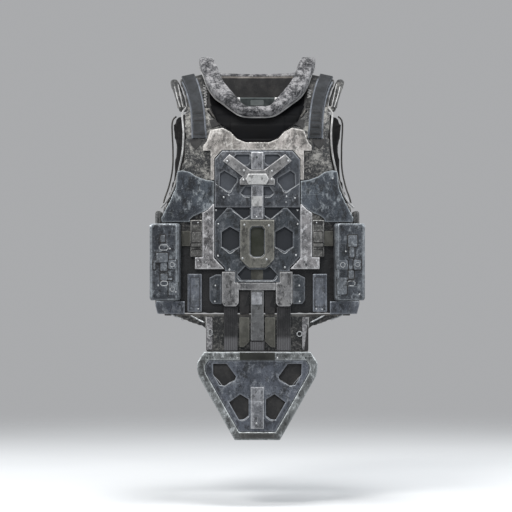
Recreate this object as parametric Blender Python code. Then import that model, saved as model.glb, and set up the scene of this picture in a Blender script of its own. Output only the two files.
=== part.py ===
"""Body armour vest: a padded carrier that opens at neck, arms and waist, dressed with
riveted chest, belly and groin plates, two side boxes and a rolled collar.

Metres, +Z up, the front of the vest looks along -Y and the wearer's left is +X.
The origin lies between the two shoulder pads, at the height of their undersides.
"""
import math

import bmesh
import bpy
from mathutils import Vector
from mathutils.geometry import tessellate_polygon

# Driving sizes of the vest
HALF_WIDTH = 0.220
CHEST_DROP = 0.220
FRONT_DEPTH = 0.145
BACK_DEPTH = 0.125
DATUM_DROP = 0.018
BACK_LEAN = 0.80

# Wall thicknesses of the soft pieces
CARRIER_T = 0.016
SIDE_T = 0.012
APRON_T = 0.009
WEB_T = 0.003
GUARD_T = 0.004
NECK_WALL_T = 0.006

# Thicknesses of the hard pieces
BACKING_T = 0.003
PLATE_T = 0.0045
RAISED_T = 0.0038
THICK_PLATE_T = 0.0062
RAIL_T = 0.0085
LEG_T = 0.0075

# Clearances
GAP = 0.0003
LAYER_GAP = 0.0006
STRAP_GAP = 0.0012

# Heights of the stacked layers in front of the carrier
BACKING_OUT = -(LAYER_GAP + BACKING_T)
PLATE_IN = BACKING_OUT - LAYER_GAP
PLATE_OUT = PLATE_IN - PLATE_T
RAISED_IN = PLATE_OUT - LAYER_GAP
RAISED_OUT = RAISED_IN - RAISED_T
TOP_IN = RAISED_OUT - LAYER_GAP
TOP_OUT = TOP_IN - RAISED_T

# Side boxes
BOX_W = 0.066
BOX_D = 0.030
BOX_YAW = math.radians(8.0)
BOX_BACK_YAW = math.radians(27.0)
BOX_CHAMFER = 0.005
BOX_STANDOFF = 0.0007
BOX_TOP = 139.5
BOX_BOTTOM = 216.5
BOX_INNER = 76.8

# Collar
BAR_T = 0.015
BAR_SETBACK = 0.0035
CLIP_T = 0.006
CLIP_SETBACK = 0.0126
COLLAR_SIDES = 12
COLLAR_SQUARE = 0.75

# Shoulders
PAD_T = 0.014
ROLL_W = 0.0215
ROLL_H = 0.018
ROLL_SIDES = 10
SHOULDER_TILT = 0.014
SHOULDER_TOP = 21.0
PAD_INNER = 0.500
PAD_OUTER = 0.718
PAD_SPREAD = 0.087

# Set-back of the front from its middle: per cent of HALF_WIDTH, per cent of FRONT_DEPTH
SWEEP = [
    (0.0, 0.0),
    (27.0, 0.0),
    (43.0, 3.4),
    (55.0, 8.3),
    (68.0, 15.2),
    (80.0, 23.4),
    (92.0, 34.5),
    (100.0, 45.5),
    (108.0, 58.0),
]

# Set-back of the front by height: per cent of CHEST_DROP, per cent of FRONT_DEPTH
LEAN = [
    (-20.0, 97.0),
    (0.0, 65.5),
    (10.0, 49.7),
    (20.0, 34.5),
    (30.0, 22.8),
    (40.0, 13.1),
    (56.0, 4.8),
    (75.0, 0.0),
    (268.0, 0.0),
    (357.0, 6.0),
]

# How far the throat guard tucks in behind the collar: drop, per cent of FRONT_DEPTH
TUCK = [(-20.0, 6.0), (10.0, 5.5), (20.0, 4.0), (30.0, 0.0), (60.0, 0.0)]

# Shoulder arch, front to back: y of the top face as a share of the front's or the back's
# depth, z as a share of CHEST_DROP, then the shares of the side-to-side tilt and of the sweep
ARCH = [
    (-0.5492, -0.2904, 0.00, 1.00),
    (-0.4400, -0.1820, 0.25, 0.75),
    (-0.3110, -0.0860, 0.55, 0.45),
    (-0.1654, -0.0050, 0.85, 0.20),
    (-0.0273, 0.0500, 1.00, 0.00),
    (0.1197, 0.0620, 1.00, 0.00),
    (0.2816, 0.0300, 0.85, 0.15),
    (0.4118, -0.0550, 0.55, 0.45),
    (0.4963, -0.1640, 0.25, 0.75),
    (0.5544, -0.2904, 0.00, 1.00),
]

# Shoulder strap stations on the front, over the arch and on the back:
# centre of the strap as a share of HALF_WIDTH, and where the station lies
STRAP_FRONT = [(54.0, 0.580), (40.0, 0.586), (30.0, 0.594), (21.0, 0.606)]
STRAP_ARCH = [0.606, 0.628, 0.655, 0.690, 0.715, 0.715, 0.700, 0.670, 0.640, 0.615]
STRAP_BACK = [(21.0, 0.615), (30.0, 0.600), (40.0, 0.590), (56.0, 0.575)]
STRAP_HALF = 0.064

# Collar centre line, front to back: x as a share of HALF_WIDTH, y as a share of the front's or
# the back's depth, z and half height as shares of CHEST_DROP, half depth of FRONT_DEPTH
COLLAR = [
    (0.000, -0.8557, -0.350, 0.043, 0.0718),
    (0.140, -0.8436, -0.341, 0.043, 0.0718),
    (0.232, -0.7829, -0.272, 0.054, 0.0819),
    (0.300, -0.6949, -0.205, 0.064, 0.0894),
    (0.374, -0.5735, -0.130, 0.079, 0.0915),
    (0.438, -0.3975, -0.027, 0.081, 0.0890),
    (0.476, -0.2428, 0.079, 0.080, 0.0903),
    (0.516, -0.0910, 0.166, 0.078, 0.0903),
    (0.524, 0.0792, 0.188, 0.067, 0.0800),
    (0.490, 0.3168, 0.124, 0.044, 0.0601),
    (0.390, 0.5544, 0.084, 0.025, 0.0341),
    (0.205, 0.6899, 0.082, 0.020, 0.0273),
    (0.000, 0.7181, 0.082, 0.020, 0.0273),
]

# Wall behind the neck: x as a share of HALF_WIDTH, outer y as a share of BACK_DEPTH,
# and its top as a share of CHEST_DROP
NECK_WALL = [(0.380, 0.5667), (0.300, 0.6266), (0.200, 0.6653), (0.000, 0.6864)]
NECK_WALL_TOP = 0.0570

# Side wall: its top and bottom as drops below the shoulder line, and its outer face
# from front to back, x as a share of HALF_WIDTH and y as a share of a depth
SIDE_TOP = 124.0
SIDE_BOTTOM = 226.0
SIDE_WALL = [
    (0.9765, -0.5690),
    (1.0100, -0.4886),
    (1.0280, -0.3034),
    (1.0340, -0.0607),
    (1.0280, 0.2112),
    (1.0060, 0.3907),
    (0.9765, 0.4963),
]

# Outlines. Each point: per cent of HALF_WIDTH from the middle, per cent of CHEST_DROP
# below the shoulder line. Halves run from the top middle out to the bottom middle.
CARRIER_FRONT = [
    (0.0, 52.0), (16.0, 49.5), (28.0, 43.0), (38.0, 36.0), (44.6, 30.5), (48.8, 24.0), (50.0, 21.0),
    (71.8, 21.0), (76.0, 27.0), (74.5, 49.0), (75.3, 66.0), (78.6, 83.0), (81.5, 94.7),
    (85.5, 106.0), (91.0, 116.0), (97.5, 123.0), (97.5, 230.8), (0.0, 230.8),
]
CARRIER_BACK = [
    (0.0, 21.0), (71.8, 21.0), (84.0, 27.0), (88.5, 34.0), (88.0, 60.0), (88.5, 81.0),
    (92.0, 99.0), (96.0, 111.0), (97.5, 117.0), (97.5, 228.0), (0.0, 228.0),
]
THROAT_GUARD = [
    (0.0, 25.2), (25.8, 25.2), (36.0, 12.0), (41.5, 2.5), (46.0, -8.0), (49.2, -3.0),
    (47.5, 20.6), (40.5, 37.0), (26.3, 46.6), (20.0, 53.8), (12.0, 57.5), (0.0, 57.7),
]
YOKE = [
    (0.0, 58.4), (12.2, 58.3), (20.5, 54.9), (27.0, 47.7), (35.0, 43.6), (47.0, 46.0),
    (50.4, 57.0), (54.4, 62.0), (54.4, 66.4), (46.6, 66.4), (46.6, 95.8), (43.2, 95.8),
    (43.2, 74.6), (35.4, 65.9), (0.0, 65.9),
]
BACKING = [(0.0, 66.7), (35.2, 66.7), (42.7, 75.3), (42.7, 173.0), (32.0, 184.0), (32.0, 187.3),
           (21.8, 187.3), (21.8, 197.6), (0.0, 197.6)]
PLATE_UPPER = [(0.0, 66.9), (35.0, 66.9), (42.5, 75.5), (42.5, 123.4), (0.0, 123.4)]
PLATE_LOWER = [
    (0.0, 124.0), (7.3, 124.0), (7.3, 131.2), (13.5, 134.9), (26.3, 124.0), (30.0, 124.0),
    (42.5, 137.6), (42.5, 172.8), (32.3, 183.9), (32.3, 187.3), (22.2, 187.3), (22.2, 198.0),
    (0.0, 198.0),
]
RAIL = [(43.2, 120.2), (44.3, 120.2), (49.6, 125.8), (54.8, 128.9), (54.8, 173.5),
        (62.3, 173.5), (62.3, 185.0), (33.0, 185.0), (43.2, 174.2)]
CROSS_BRACKET = [(0.0, 86.0), (7.0, 86.0), (27.8, 70.3), (34.4, 77.2), (14.6, 93.0),
                 (17.5, 95.8), (17.5, 101.0), (0.0, 101.0)]
CROSS_BAR = [(0.0, 90.0), (8.8, 90.0), (11.6, 95.3), (8.8, 100.6), (0.0, 100.6)]
CENTRE_FRAME = [(0.0, 136.0), (16.9, 136.0), (16.9, 175.0), (11.8, 180.6), (8.2, 183.6),
                (0.0, 183.6)]
SIDE_PLATE = [
    (80.3, 87.0), (75.3, 86.0), (67.3, 88.0), (61.3, 92.4), (51.0, 96.2), (43.6, 97.0),
    (43.6, 119.4), (49.9, 125.2), (55.3, 128.4), (63.7, 132.0), (67.5, 135.0), (67.5, 137.8),
    (96.4, 137.8),
    (97.0, 133.7), (88.4, 117.7),
    (82.0, 103.3),
]
SKIRT_SIDE = [(73.0, 217.6), (102.6, 217.6), (103.4, 222.0), (101.0, 230.6), (73.0, 230.6)]
BELLY_LEG = [(18.6, 198.5), (22.5, 198.5), (22.5, 187.8), (35.2, 187.8), (35.2, 219.0),
             (32.6, 222.3), (21.2, 222.3), (18.6, 219.0)]
BELLY_SIDE = [(35.7, 190.6), (41.5, 190.6), (47.8, 193.8), (47.8, 216.0), (45.0, 220.0),
              (35.7, 220.0)]
APRON = [(0.0, 231.0), (82.0, 231.0), (82.0, 233.4), (52.6, 244.6), (51.6, 267.8), (0.0, 267.8)]
APRON_PANEL = [(8.0, 233.4), (17.8, 233.4), (17.8, 263.0), (13.6, 263.0), (8.0, 257.4)]
GROIN_OUT = [(0.0, 268.0), (53.3, 268.0), (60.3, 279.0), (60.3, 285.6), (58.9, 292.4),
             (22.6, 356.2), (0.0, 356.2)]
GROIN_IN = [(0.0, 276.2), (48.6, 276.2), (52.4, 282.0), (52.4, 285.2), (51.4, 290.0),
            (18.2, 348.2), (0.0, 348.2)]
GROIN_PLATE = [(0.0, 276.5), (48.4, 276.5), (52.1, 282.1), (52.1, 285.1), (51.1, 289.9),
               (18.0, 347.9), (0.0, 347.9)]
GROIN_PAD = [(0.0, 268.0), (50.6, 268.0), (57.0, 279.0), (57.0, 285.0), (55.8, 291.0),
             (20.8, 353.0), (0.0, 353.0)]

# Openings cut through the plates, given for the wearer's left half
WINDOW_TOP = [(7.6, 70.6), (20.8, 70.6), (23.2, 73.0), (23.2, 78.6), (20.8, 81.0),
              (10.0, 81.0), (7.6, 78.6)]
WINDOW_SIDE = [(37.4, 89.8), (33.0, 86.8), (20.4, 94.4), (20.4, 98.4), (26.8, 106.6),
               (29.2, 107.2), (37.8, 102.2)]
SLOT_LOZENGE = [(0.0, 102.8), (12.3, 102.8), (16.6, 109.4), (12.8, 111.8), (0.0, 111.8)]
HEX_BIG = [(27.4, 142.8), (35.5, 148.1), (35.5, 162.6), (27.4, 167.3), (17.9, 162.6),
           (17.9, 148.1)]
SLOT_CENTRE = [(0.0, 143.2), (4.6, 143.2), (6.8, 146.0), (6.8, 169.8), (4.6, 172.6),
               (0.0, 172.6)]
SLOT_FRAME = [(0.0, 142.2), (5.2, 142.2), (7.8, 145.4), (7.8, 170.4), (5.2, 173.6),
              (0.0, 173.6)]
SLOT_LOWER = [(0.0, 185.4), (7.8, 185.4), (12.0, 182.2), (19.8, 190.4), (15.9, 195.9),
              (0.0, 195.9)]
GROIN_UPPER = [(44.4, 279.8), (30.6, 279.8), (21.2, 292.6), (22.5, 296.5), (32.8, 301.7),
               (37.7, 301.2), (44.0, 290.6)]
GROIN_LOWER = [(17.2, 310.2), (8.7, 315.4), (8.7, 331.8), (13.6, 335.4), (18.4, 335.8),
               (28.2, 318.4)]


def clear_scene():
    """Take every object out of the scene."""
    for item in list(bpy.data.objects):
        bpy.data.objects.remove(item, do_unlink=True)


def material(name, colour, roughness, metallic):
    """A plain Principled material."""
    made = bpy.data.materials.new(name)
    made.use_nodes = True
    shader = made.node_tree.nodes["Principled BSDF"]
    shader.inputs["Base Color"].default_value = (*colour, 1.0)
    shader.inputs["Roughness"].default_value = roughness
    shader.inputs["Metallic"].default_value = metallic
    return made


def along(table, value):
    """Straight-line value of a two-column table, held at both ends."""
    if value <= table[0][0]:
        return table[0][1]
    for (start, low), (end, high) in zip(table, table[1:]):
        if value <= end:
            return low + (high - low) * (value - start) / (end - start)
    return table[-1][1]


def at(share_x, share_z):
    """Point of an outline: x and z in metres."""
    return (share_x / 100 * HALF_WIDTH, -(DATUM_DROP + share_z / 100 * CHEST_DROP))


def depth(share):
    """A y in metres from a share of the front's depth, or of the back's."""
    return share * (FRONT_DEPTH if share < 0 else BACK_DEPTH)


def points(table, side=1):
    """An outline in metres, for one side of the vest."""
    return [(side * x, z) for x, z in (at(*row) for row in table)]


def both(table):
    """A half outline closed with its mirror image."""
    half = points(table)
    return half + [(-x, z) for x, z in reversed(half) if x > 0]


def set_back(x, z):
    """Set-back by width and by height, in metres."""
    sweep = along(SWEEP, 100 * abs(x) / HALF_WIDTH)
    lean = along(LEAN, 100 * (-z - DATUM_DROP) / CHEST_DROP)
    return FRONT_DEPTH * sweep / 100, FRONT_DEPTH * lean / 100


def front_y(x, z):
    """Outer face of the front carrier."""
    sweep, lean = set_back(x, z)
    return sweep + lean - FRONT_DEPTH


def guard_y(x, z):
    """Front face with the tuck of the throat guard."""
    return front_y(x, z) + FRONT_DEPTH * along(TUCK, 100 * (-z - DATUM_DROP) / CHEST_DROP) / 100


def back_y(x, z):
    """Outer face of the back carrier."""
    sweep, lean = set_back(x, z)
    return BACK_DEPTH - sweep - BACK_LEAN * lean


def new_object(name, bm, skin, smooth=False):
    """Turn a mesh under work into a named object."""
    bmesh.ops.recalc_face_normals(bm, faces=bm.faces[:])
    if bm.calc_volume(signed=True) < 0:
        bmesh.ops.reverse_faces(bm, faces=bm.faces[:])
    for face in bm.faces:
        face.smooth = smooth
    mesh = bpy.data.meshes.new(name)
    bm.to_mesh(mesh)
    bm.free()
    mesh.materials.append(skin)
    made = bpy.data.objects.new(name, mesh)
    bpy.context.scene.collection.objects.link(made)
    return made


def cut_at(bm, spot, normal):
    """Split every face that crosses a plane."""
    everything = bm.verts[:] + bm.edges[:] + bm.faces[:]
    bmesh.ops.bisect_plane(bm, geom=everything, dist=1e-6, plane_co=spot, plane_no=normal)


def flat_slab(loops):
    """A slab from y 0 to y 1 over an outline with holes."""
    bm = bmesh.new()
    flat = [[Vector((x, z, 0.0)) for x, z in loop] for loop in loops]
    near = [bm.verts.new((spot.x, 0.0, spot.y)) for loop in flat for spot in loop]
    far = [bm.verts.new((spot.x, 1.0, spot.y)) for loop in flat for spot in loop]
    for a, b, c in tessellate_polygon(flat):
        bm.faces.new((near[a], near[b], near[c]))
        bm.faces.new((far[c], far[b], far[a]))
    start = 0
    for loop in flat:
        for step in range(len(loop)):
            a = start + step
            b = start + (step + 1) % len(loop)
            bm.faces.new((near[a], near[b], far[b], far[a]))
        start += len(loop)
    bmesh.ops.recalc_face_normals(bm, faces=bm.faces[:])
    bmesh.ops.dissolve_limit(bm, angle_limit=0.01, verts=bm.verts[:], edges=bm.edges[:])
    return bm


def layer(name, skin, outline, outer, inner, holes=(), face=front_y, lean=LEAN):
    """A flat outline laid on the vest's face between two heights of that face."""
    bm = flat_slab([outline, *holes])
    widest = max(abs(x) for x, _ in outline)
    top = max(z for _, z in outline)
    bottom = min(z for _, z in outline)
    for share, _ in SWEEP[1:]:
        x = share / 100 * HALF_WIDTH
        if x < widest:
            cut_at(bm, (x, 0, 0), (1, 0, 0))
            cut_at(bm, (-x, 0, 0), (1, 0, 0))
    for share, _ in lean:
        z = at(0, share)[1]
        if bottom < z < top:
            cut_at(bm, (0, 0, z), (0, 0, 1))
    for vert in bm.verts:
        height = inner if vert.co.y > 0.5 else outer
        vert.co.y = face(vert.co.x, vert.co.z) + height
    return new_object(name, bm, skin)


def box_outline(left, right, top, bottom, side=1):
    """A rectangular outline from its four sides."""
    return points([(left, top), (right, top), (right, bottom), (left, bottom)], side)


def loft(name, skin, rings, closed=False, smooth=True):
    """A skin over rings of points, closed into a loop or capped at both ends."""
    bm = bmesh.new()
    loops = [[bm.verts.new(spot) for spot in ring] for ring in rings]
    pairs = list(zip(loops, loops[1:]))
    if closed:
        pairs.append((loops[-1], loops[0]))
    else:
        bm.faces.new(loops[0])
        bm.faces.new(loops[-1])
    for first, second in pairs:
        for step in range(len(first)):
            after = (step + 1) % len(first)
            bm.faces.new((first[step], first[after], second[after], second[step]))
    return new_object(name, bm, skin, smooth)


def pad_edges():
    """Inner and outer x of the shoulder pad at each station of the arch."""
    edges = []
    for _, _, tilt, _ in ARCH:
        edges.append((PAD_INNER * HALF_WIDTH, (PAD_OUTER + PAD_SPREAD * tilt) * HALF_WIDTH))
    return edges


def arch_point(station, x):
    """Top face of the shoulder at one station of the arch and one x."""
    y, z, tilt, sweep = ARCH[station]
    inner, outer = pad_edges()[station]
    share = (x - (inner + outer) / 2) / (outer - inner)
    front = 1 if y < 0 else -1
    near, far = along(SWEEP, 100 * PAD_INNER), along(SWEEP, 100 * PAD_OUTER)
    splay = FRONT_DEPTH * (far - near) * share / 100
    return Vector((x, depth(y) + front * splay * sweep,
                   z * CHEST_DROP - SHOULDER_TILT * tilt * share))


def offset_path(path, first, last):
    """Move a path along its normals in the YZ plane, by one or another distance."""
    moved = []
    for index, spot in enumerate(path):
        before = path[max(index - 1, 0)]
        after = path[min(index + 1, len(path) - 1)]
        run = (after - before).normalized()
        normal = Vector((0.0, -run.z, run.y)).normalized()
        moved.append((spot + normal * first, spot + normal * last))
    return moved


def shoulder_pad(name, skin, side):
    """Padded bridge over the shoulder, between the tops of the two carriers."""
    tops = []
    for edge in (0, 1):
        line = [arch_point(step, pad_edges()[step][edge]) for step in range(len(ARCH))]
        pairs = offset_path(line, 0.0, -PAD_T)
        pairs[0] = (line[0], line[0] + Vector((0, CARRIER_T, 0)))
        pairs[-1] = (line[-1], line[-1] - Vector((0, CARRIER_T, 0)))
        tops.append(pairs)
    rings = []
    for (top_in, under_in), (top_out, under_out) in zip(*tops):
        ring = [top_in, top_out, under_out, under_in]
        rings.append([(side * spot.x, spot.y, spot.z) for spot in ring])
    return loft(name, skin, rings)


def strap_line(share_offset):
    """Path of one edge of the shoulder strap over front, arch and back."""
    line = []
    for drop, centre in STRAP_FRONT:
        x = (centre + share_offset) * HALF_WIDTH
        z = at(0, drop)[1]
        line.append(Vector((x, front_y(x, z), z)))
    for station, centre in enumerate(STRAP_ARCH[1:-1], start=1):
        line.append(arch_point(station, (centre + share_offset) * HALF_WIDTH))
    for drop, centre in STRAP_BACK:
        x = (centre + share_offset) * HALF_WIDTH
        z = at(0, drop)[1]
        line.append(Vector((x, back_y(x, z), z)))
    return line


def shoulder_strap(name, skin, side):
    """Flat webbing strap laid over the shoulder pad."""
    edges = []
    for offset in (-STRAP_HALF, STRAP_HALF):
        edges.append(offset_path(strap_line(offset), STRAP_GAP + WEB_T, STRAP_GAP))
    rings = []
    for (top_in, under_in), (top_out, under_out) in zip(*edges):
        ring = [top_in, top_out, under_out, under_in]
        rings.append([(side * spot.x, spot.y, spot.z) for spot in ring])
    return loft(name, skin, rings)


def shoulder_roll(name, skin, side):
    """Rolled edge along the outside of the shoulder pad."""
    line = []
    for step in range(len(ARCH)):
        spot = arch_point(step, pad_edges()[step][1])
        line.append(spot + Vector((ROLL_W / 2 + GAP, 0.0, 0.0)))
    centres = [pair[0] for pair in offset_path(line, -ROLL_H / 2, 0.0)]
    centres[0] = line[0] + Vector((0.0, ROLL_H / 2, 0.0))
    centres[-1] = line[-1] - Vector((0.0, ROLL_H / 2, 0.0))
    rings = []
    for index, centre in enumerate(centres):
        before = centres[max(index - 1, 0)]
        after = centres[min(index + 1, len(centres) - 1)]
        run = (after - before).normalized()
        up = Vector((0.0, -run.z, run.y)).normalized()
        if index in (0, len(centres) - 1):
            up = Vector((0.0, math.copysign(1.0, up.y), 0.0))
        ring = []
        for step in range(ROLL_SIDES):
            angle = 2 * math.pi * (step + 0.5) / ROLL_SIDES
            spot = centre + up * (ROLL_H / 2 * math.sin(angle))
            spot.x += ROLL_W / 2 * math.cos(angle)
            ring.append((side * spot.x, spot.y, spot.z))
        rings.append(ring)
    return loft(name, skin, rings)


def squared(value):
    """Push a cosine or sine outwards, so that a round section turns squarish."""
    return math.copysign(abs(value) ** COLLAR_SQUARE, value)


def collar_ring(name, skin):
    """Padded roll that runs round the whole neck opening."""
    full = COLLAR + [(-x, y, z, tall, deep) for x, y, z, tall, deep in reversed(COLLAR[1:-1])]
    spots = [Vector((x * HALF_WIDTH, depth(y), z * CHEST_DROP)) for x, y, z, _, _ in full]
    rings = []
    for index, centre in enumerate(spots):
        run = (spots[(index + 1) % len(spots)] - spots[index - 1]).normalized()
        across = Vector((0.0, -1.0, 1.0)).cross(run).normalized()
        outward = across.cross(run).normalized()
        tall = full[index][3] * CHEST_DROP
        deep = full[index][4] * FRONT_DEPTH
        ring = []
        for step in range(COLLAR_SIDES):
            angle = 2 * math.pi * (step + 0.5) / COLLAR_SIDES
            ring.append(centre + across * tall * squared(math.cos(angle))
                        + outward * deep * squared(math.sin(angle)))
        rings.append(ring)
    return loft(name, skin, rings, closed=True)


def prism(name, skin, plan, bottom, top):
    """An upright solid over a plan outline."""
    rings = [[(x, y, z) for x, y in plan] for z in (bottom, top)]
    return loft(name, skin, rings, smooth=False)


def side_wall(name, skin, side):
    """Cummerbund wall that joins the front carrier to the back carrier."""
    outer = [(x * HALF_WIDTH, depth(y)) for x, y in SIDE_WALL]
    end_x = outer[0][0]
    inner = [(end_x, outer[-1][1] - CARRIER_T)]
    inner += [(max(x - SIDE_T, end_x), y) for x, y in reversed(outer[2:-2])]
    inner += [(end_x, outer[0][1] + CARRIER_T)]
    plan = [(side * x, y) for x, y in outer + inner]
    return prism(name, skin, plan, at(0, SIDE_BOTTOM)[1], at(0, SIDE_TOP)[1])


def neck_wall(name, skin):
    """Upright wall behind the neck, under the back of the collar."""
    half = [(x * HALF_WIDTH, depth(y)) for x, y in NECK_WALL]
    outer = half + [(-x, y) for x, y in reversed(half[:-1])]
    inner = [(x, y - NECK_WALL_T) for x, y in reversed(outer)]
    return prism(name, skin, outer + inner, at(0, SHOULDER_TOP)[1] + GAP,
                 NECK_WALL_TOP * CHEST_DROP)


def turned(yaw):
    """Outward and sideways directions of an upright face turned by a yaw."""
    return (Vector((math.sin(yaw), -math.cos(yaw))), Vector((math.cos(yaw), math.sin(yaw))))


def side_box(name, skin, side):
    """Equipment box at the side of the waist, with its back laid along the carrier."""
    rest, _ = turned(BOX_BACK_YAW)
    normal, run = turned(BOX_YAW)
    reach = BOX_STANDOFF + max(
        rest.dot(Vector((x, front_y(x, at(0, BOX_TOP)[1]))))
        for x in (share / 100 * HALF_WIDTH for share, _ in SWEEP))
    inner_x = BOX_INNER / 100 * HALF_WIDTH
    corner = Vector((inner_x, (rest.x * inner_x - reach) / -rest.y))
    front = corner + normal * BOX_D
    outer = front + run * BOX_W
    outer_depth = (rest.dot(outer) - reach) / rest.dot(normal)
    plan = [
        corner,
        outer - normal * outer_depth,
        outer - normal * BOX_CHAMFER,
        outer - run * BOX_CHAMFER,
        front + run * BOX_CHAMFER,
        front - normal * BOX_CHAMFER,
    ]
    low = at(0, BOX_BOTTOM)[1]
    high = at(0, BOX_TOP)[1]
    middle = sum((Vector(spot) for spot in plan), Vector((0, 0))) / len(plan)
    shrink = 1 - BOX_CHAMFER / BOX_W
    rings = []
    for z, scale in ((low, shrink), (low + BOX_CHAMFER, 1), (high - BOX_CHAMFER, 1),
                     (high, shrink)):
        ring = []
        for spot in plan:
            moved = middle + (spot - middle) * scale
            ring.append((side * moved.x, moved.y, z))
        rings.append(ring)
    return loft(name, skin, rings, smooth=False)


def bar_on_collar(name, skin, left, right, top, bottom, thickness, setback):
    """A bar that stands on the throat guard behind the front of the collar."""
    x_low, z_high = at(left, top)
    x_high, z_low = at(right, bottom)
    y = guard_y(0.0, at(0, 25.2)[1]) + setback
    half = thickness / 2
    ring = [(x_low, z_low), (x_high, z_low), (x_high, z_high), (x_low, z_high)]
    rings = [[(x, y + depth, z) for x, z in ring] for depth in (-half, half)]
    return loft(name, skin, rings, smooth=False)


def build_soft_body(cloth, lining, webbing):
    """Carriers, side walls, shoulders and collar."""
    layer("carrier_front", cloth, both(CARRIER_FRONT), 0.0, CARRIER_T)
    layer("carrier_back", cloth, both(CARRIER_BACK), 0.0, -CARRIER_T, face=back_y)
    collar_ring("collar_ring", cloth)
    neck_wall("neck_guard_back", lining)
    for word, side in (("left", 1), ("right", -1)):
        side_wall(f"side_panel_{word}", cloth, side)
        shoulder_pad(f"shoulder_pad_{word}", cloth, side)
        shoulder_roll(f"shoulder_roll_{word}", lining, side)
        shoulder_strap(f"shoulder_strap_{word}", webbing, side)


def build_throat(dark, steel):
    """Throat guard with the bar that stands on it."""
    layer("throat_guard", dark, both(THROAT_GUARD), -(LAYER_GAP + GUARD_T), -LAYER_GAP,
          face=guard_y, lean=sorted(set(LEAN + TUCK)))
    bar_on_collar("collar_bar", dark, -17.4, 17.4, 12.4, 24.9, BAR_T, BAR_SETBACK)
    bar_on_collar("collar_clip_left", steel, 17.6, 24.8, 11.8, 20.6, CLIP_T, CLIP_SETBACK)
    bar_on_collar("collar_clip_right", steel, -24.8, -17.6, 11.8, 20.6, CLIP_T, CLIP_SETBACK)


def build_chest(paint, sand, dark, steel, olive):
    """Chest frame with its pierced plates and the pieces riveted on them."""
    mirror = [points(WINDOW_TOP), points(WINDOW_TOP, -1),
              points(WINDOW_SIDE), points(WINDOW_SIDE, -1), both(SLOT_LOZENGE)]
    layer("chest_yoke", sand, both(YOKE), -(LAYER_GAP + THICK_PLATE_T), -LAYER_GAP)
    layer("chest_backing", dark, both(BACKING), BACKING_OUT, -LAYER_GAP)
    layer("chest_plate_upper", paint, both(PLATE_UPPER), PLATE_OUT, PLATE_IN, holes=mirror)
    mirror = [points(HEX_BIG), points(HEX_BIG, -1), both(SLOT_CENTRE), both(SLOT_LOWER)]
    layer("chest_plate_lower", paint, both(PLATE_LOWER), PLATE_OUT, PLATE_IN, holes=mirror)
    layer("cross_bracket", paint, both(CROSS_BRACKET), RAISED_OUT, RAISED_IN)
    layer("cross_bar", steel, both(CROSS_BAR), TOP_OUT, TOP_IN)
    layer("centre_frame", olive, both(CENTRE_FRAME), RAISED_OUT, RAISED_IN,
          holes=[both(SLOT_FRAME)])
    layer("centre_strap_upper", steel, box_outline(-6.0, 6.0, 68.2, 85.6), RAISED_OUT, RAISED_IN)
    layer("centre_strap_lower", steel, box_outline(-6.0, 6.0, 101.4, 135.2), RAISED_OUT,
          RAISED_IN)
    for word, side in (("left", 1), ("right", -1)):
        layer(f"chest_rail_{word}", sand, points(RAIL, side), -(LAYER_GAP + RAIL_T), -LAYER_GAP)
        layer(f"side_chest_plate_{word}", paint, points(SIDE_PLATE, side),
              -(LAYER_GAP + THICK_PLATE_T), -LAYER_GAP)


def build_waist(paint, dark, webbing, steel):
    """Buckle plates, straps, boxes and skirt plates."""
    for word, side in (("left", 1), ("right", -1)):
        layer(f"buckle_plate_{word}", paint, box_outline(55.5, 67.0, 136.0, 172.8, side),
              -(LAYER_GAP + THICK_PLATE_T), -LAYER_GAP)
        layer(f"waist_strap_{word}", webbing, box_outline(67.3, 76.2, 147.0, 162.0, side),
              -(LAYER_GAP + WEB_T), -LAYER_GAP)
        side_box(f"side_box_{word}", steel, side)
        layer(f"skirt_side_plate_{word}", paint, points(SKIRT_SIDE, side),
              -(LAYER_GAP + PLATE_T), -LAYER_GAP)
        layer(f"skirt_front_plate_{word}", dark, box_outline(55.7, 70.0, 190.0, 228.0, side),
              -(LAYER_GAP + PLATE_T), -LAYER_GAP)


def build_belly(paint, dark, webbing, olive, cloth):
    """Belly plates, the apron below the hem and its webbing."""
    layer("belly_band", paint, box_outline(-18.3, 18.3, 198.6, 206.0),
          -(LAYER_GAP + THICK_PLATE_T), -LAYER_GAP)
    layer("belly_strap", paint, box_outline(-6.4, 6.4, 206.3, 256.6),
          -(LAYER_GAP + PLATE_T), -LAYER_GAP)
    layer("apron", cloth, both(APRON), 0.0, APRON_T)
    layer("webbing_centre", webbing, box_outline(-7.0, 7.0, 257.6, 266.6),
          -(LAYER_GAP + WEB_T), -LAYER_GAP)
    for word, side in (("left", 1), ("right", -1)):
        layer(f"belly_leg_{word}", paint, points(BELLY_LEG, side), -(LAYER_GAP + LEG_T),
              -LAYER_GAP)
        layer(f"belly_side_plate_{word}", dark, points(BELLY_SIDE, side),
              -(LAYER_GAP + PLATE_T), -LAYER_GAP)
        layer(f"webbing_{word}", webbing, box_outline(19.6, 33.4, 222.7, 266.6, side),
              -(LAYER_GAP + WEB_T), -LAYER_GAP)
        layer(f"apron_panel_{word}", olive, points(APRON_PANEL, side),
              -(LAYER_GAP + WEB_T), -LAYER_GAP)


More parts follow.
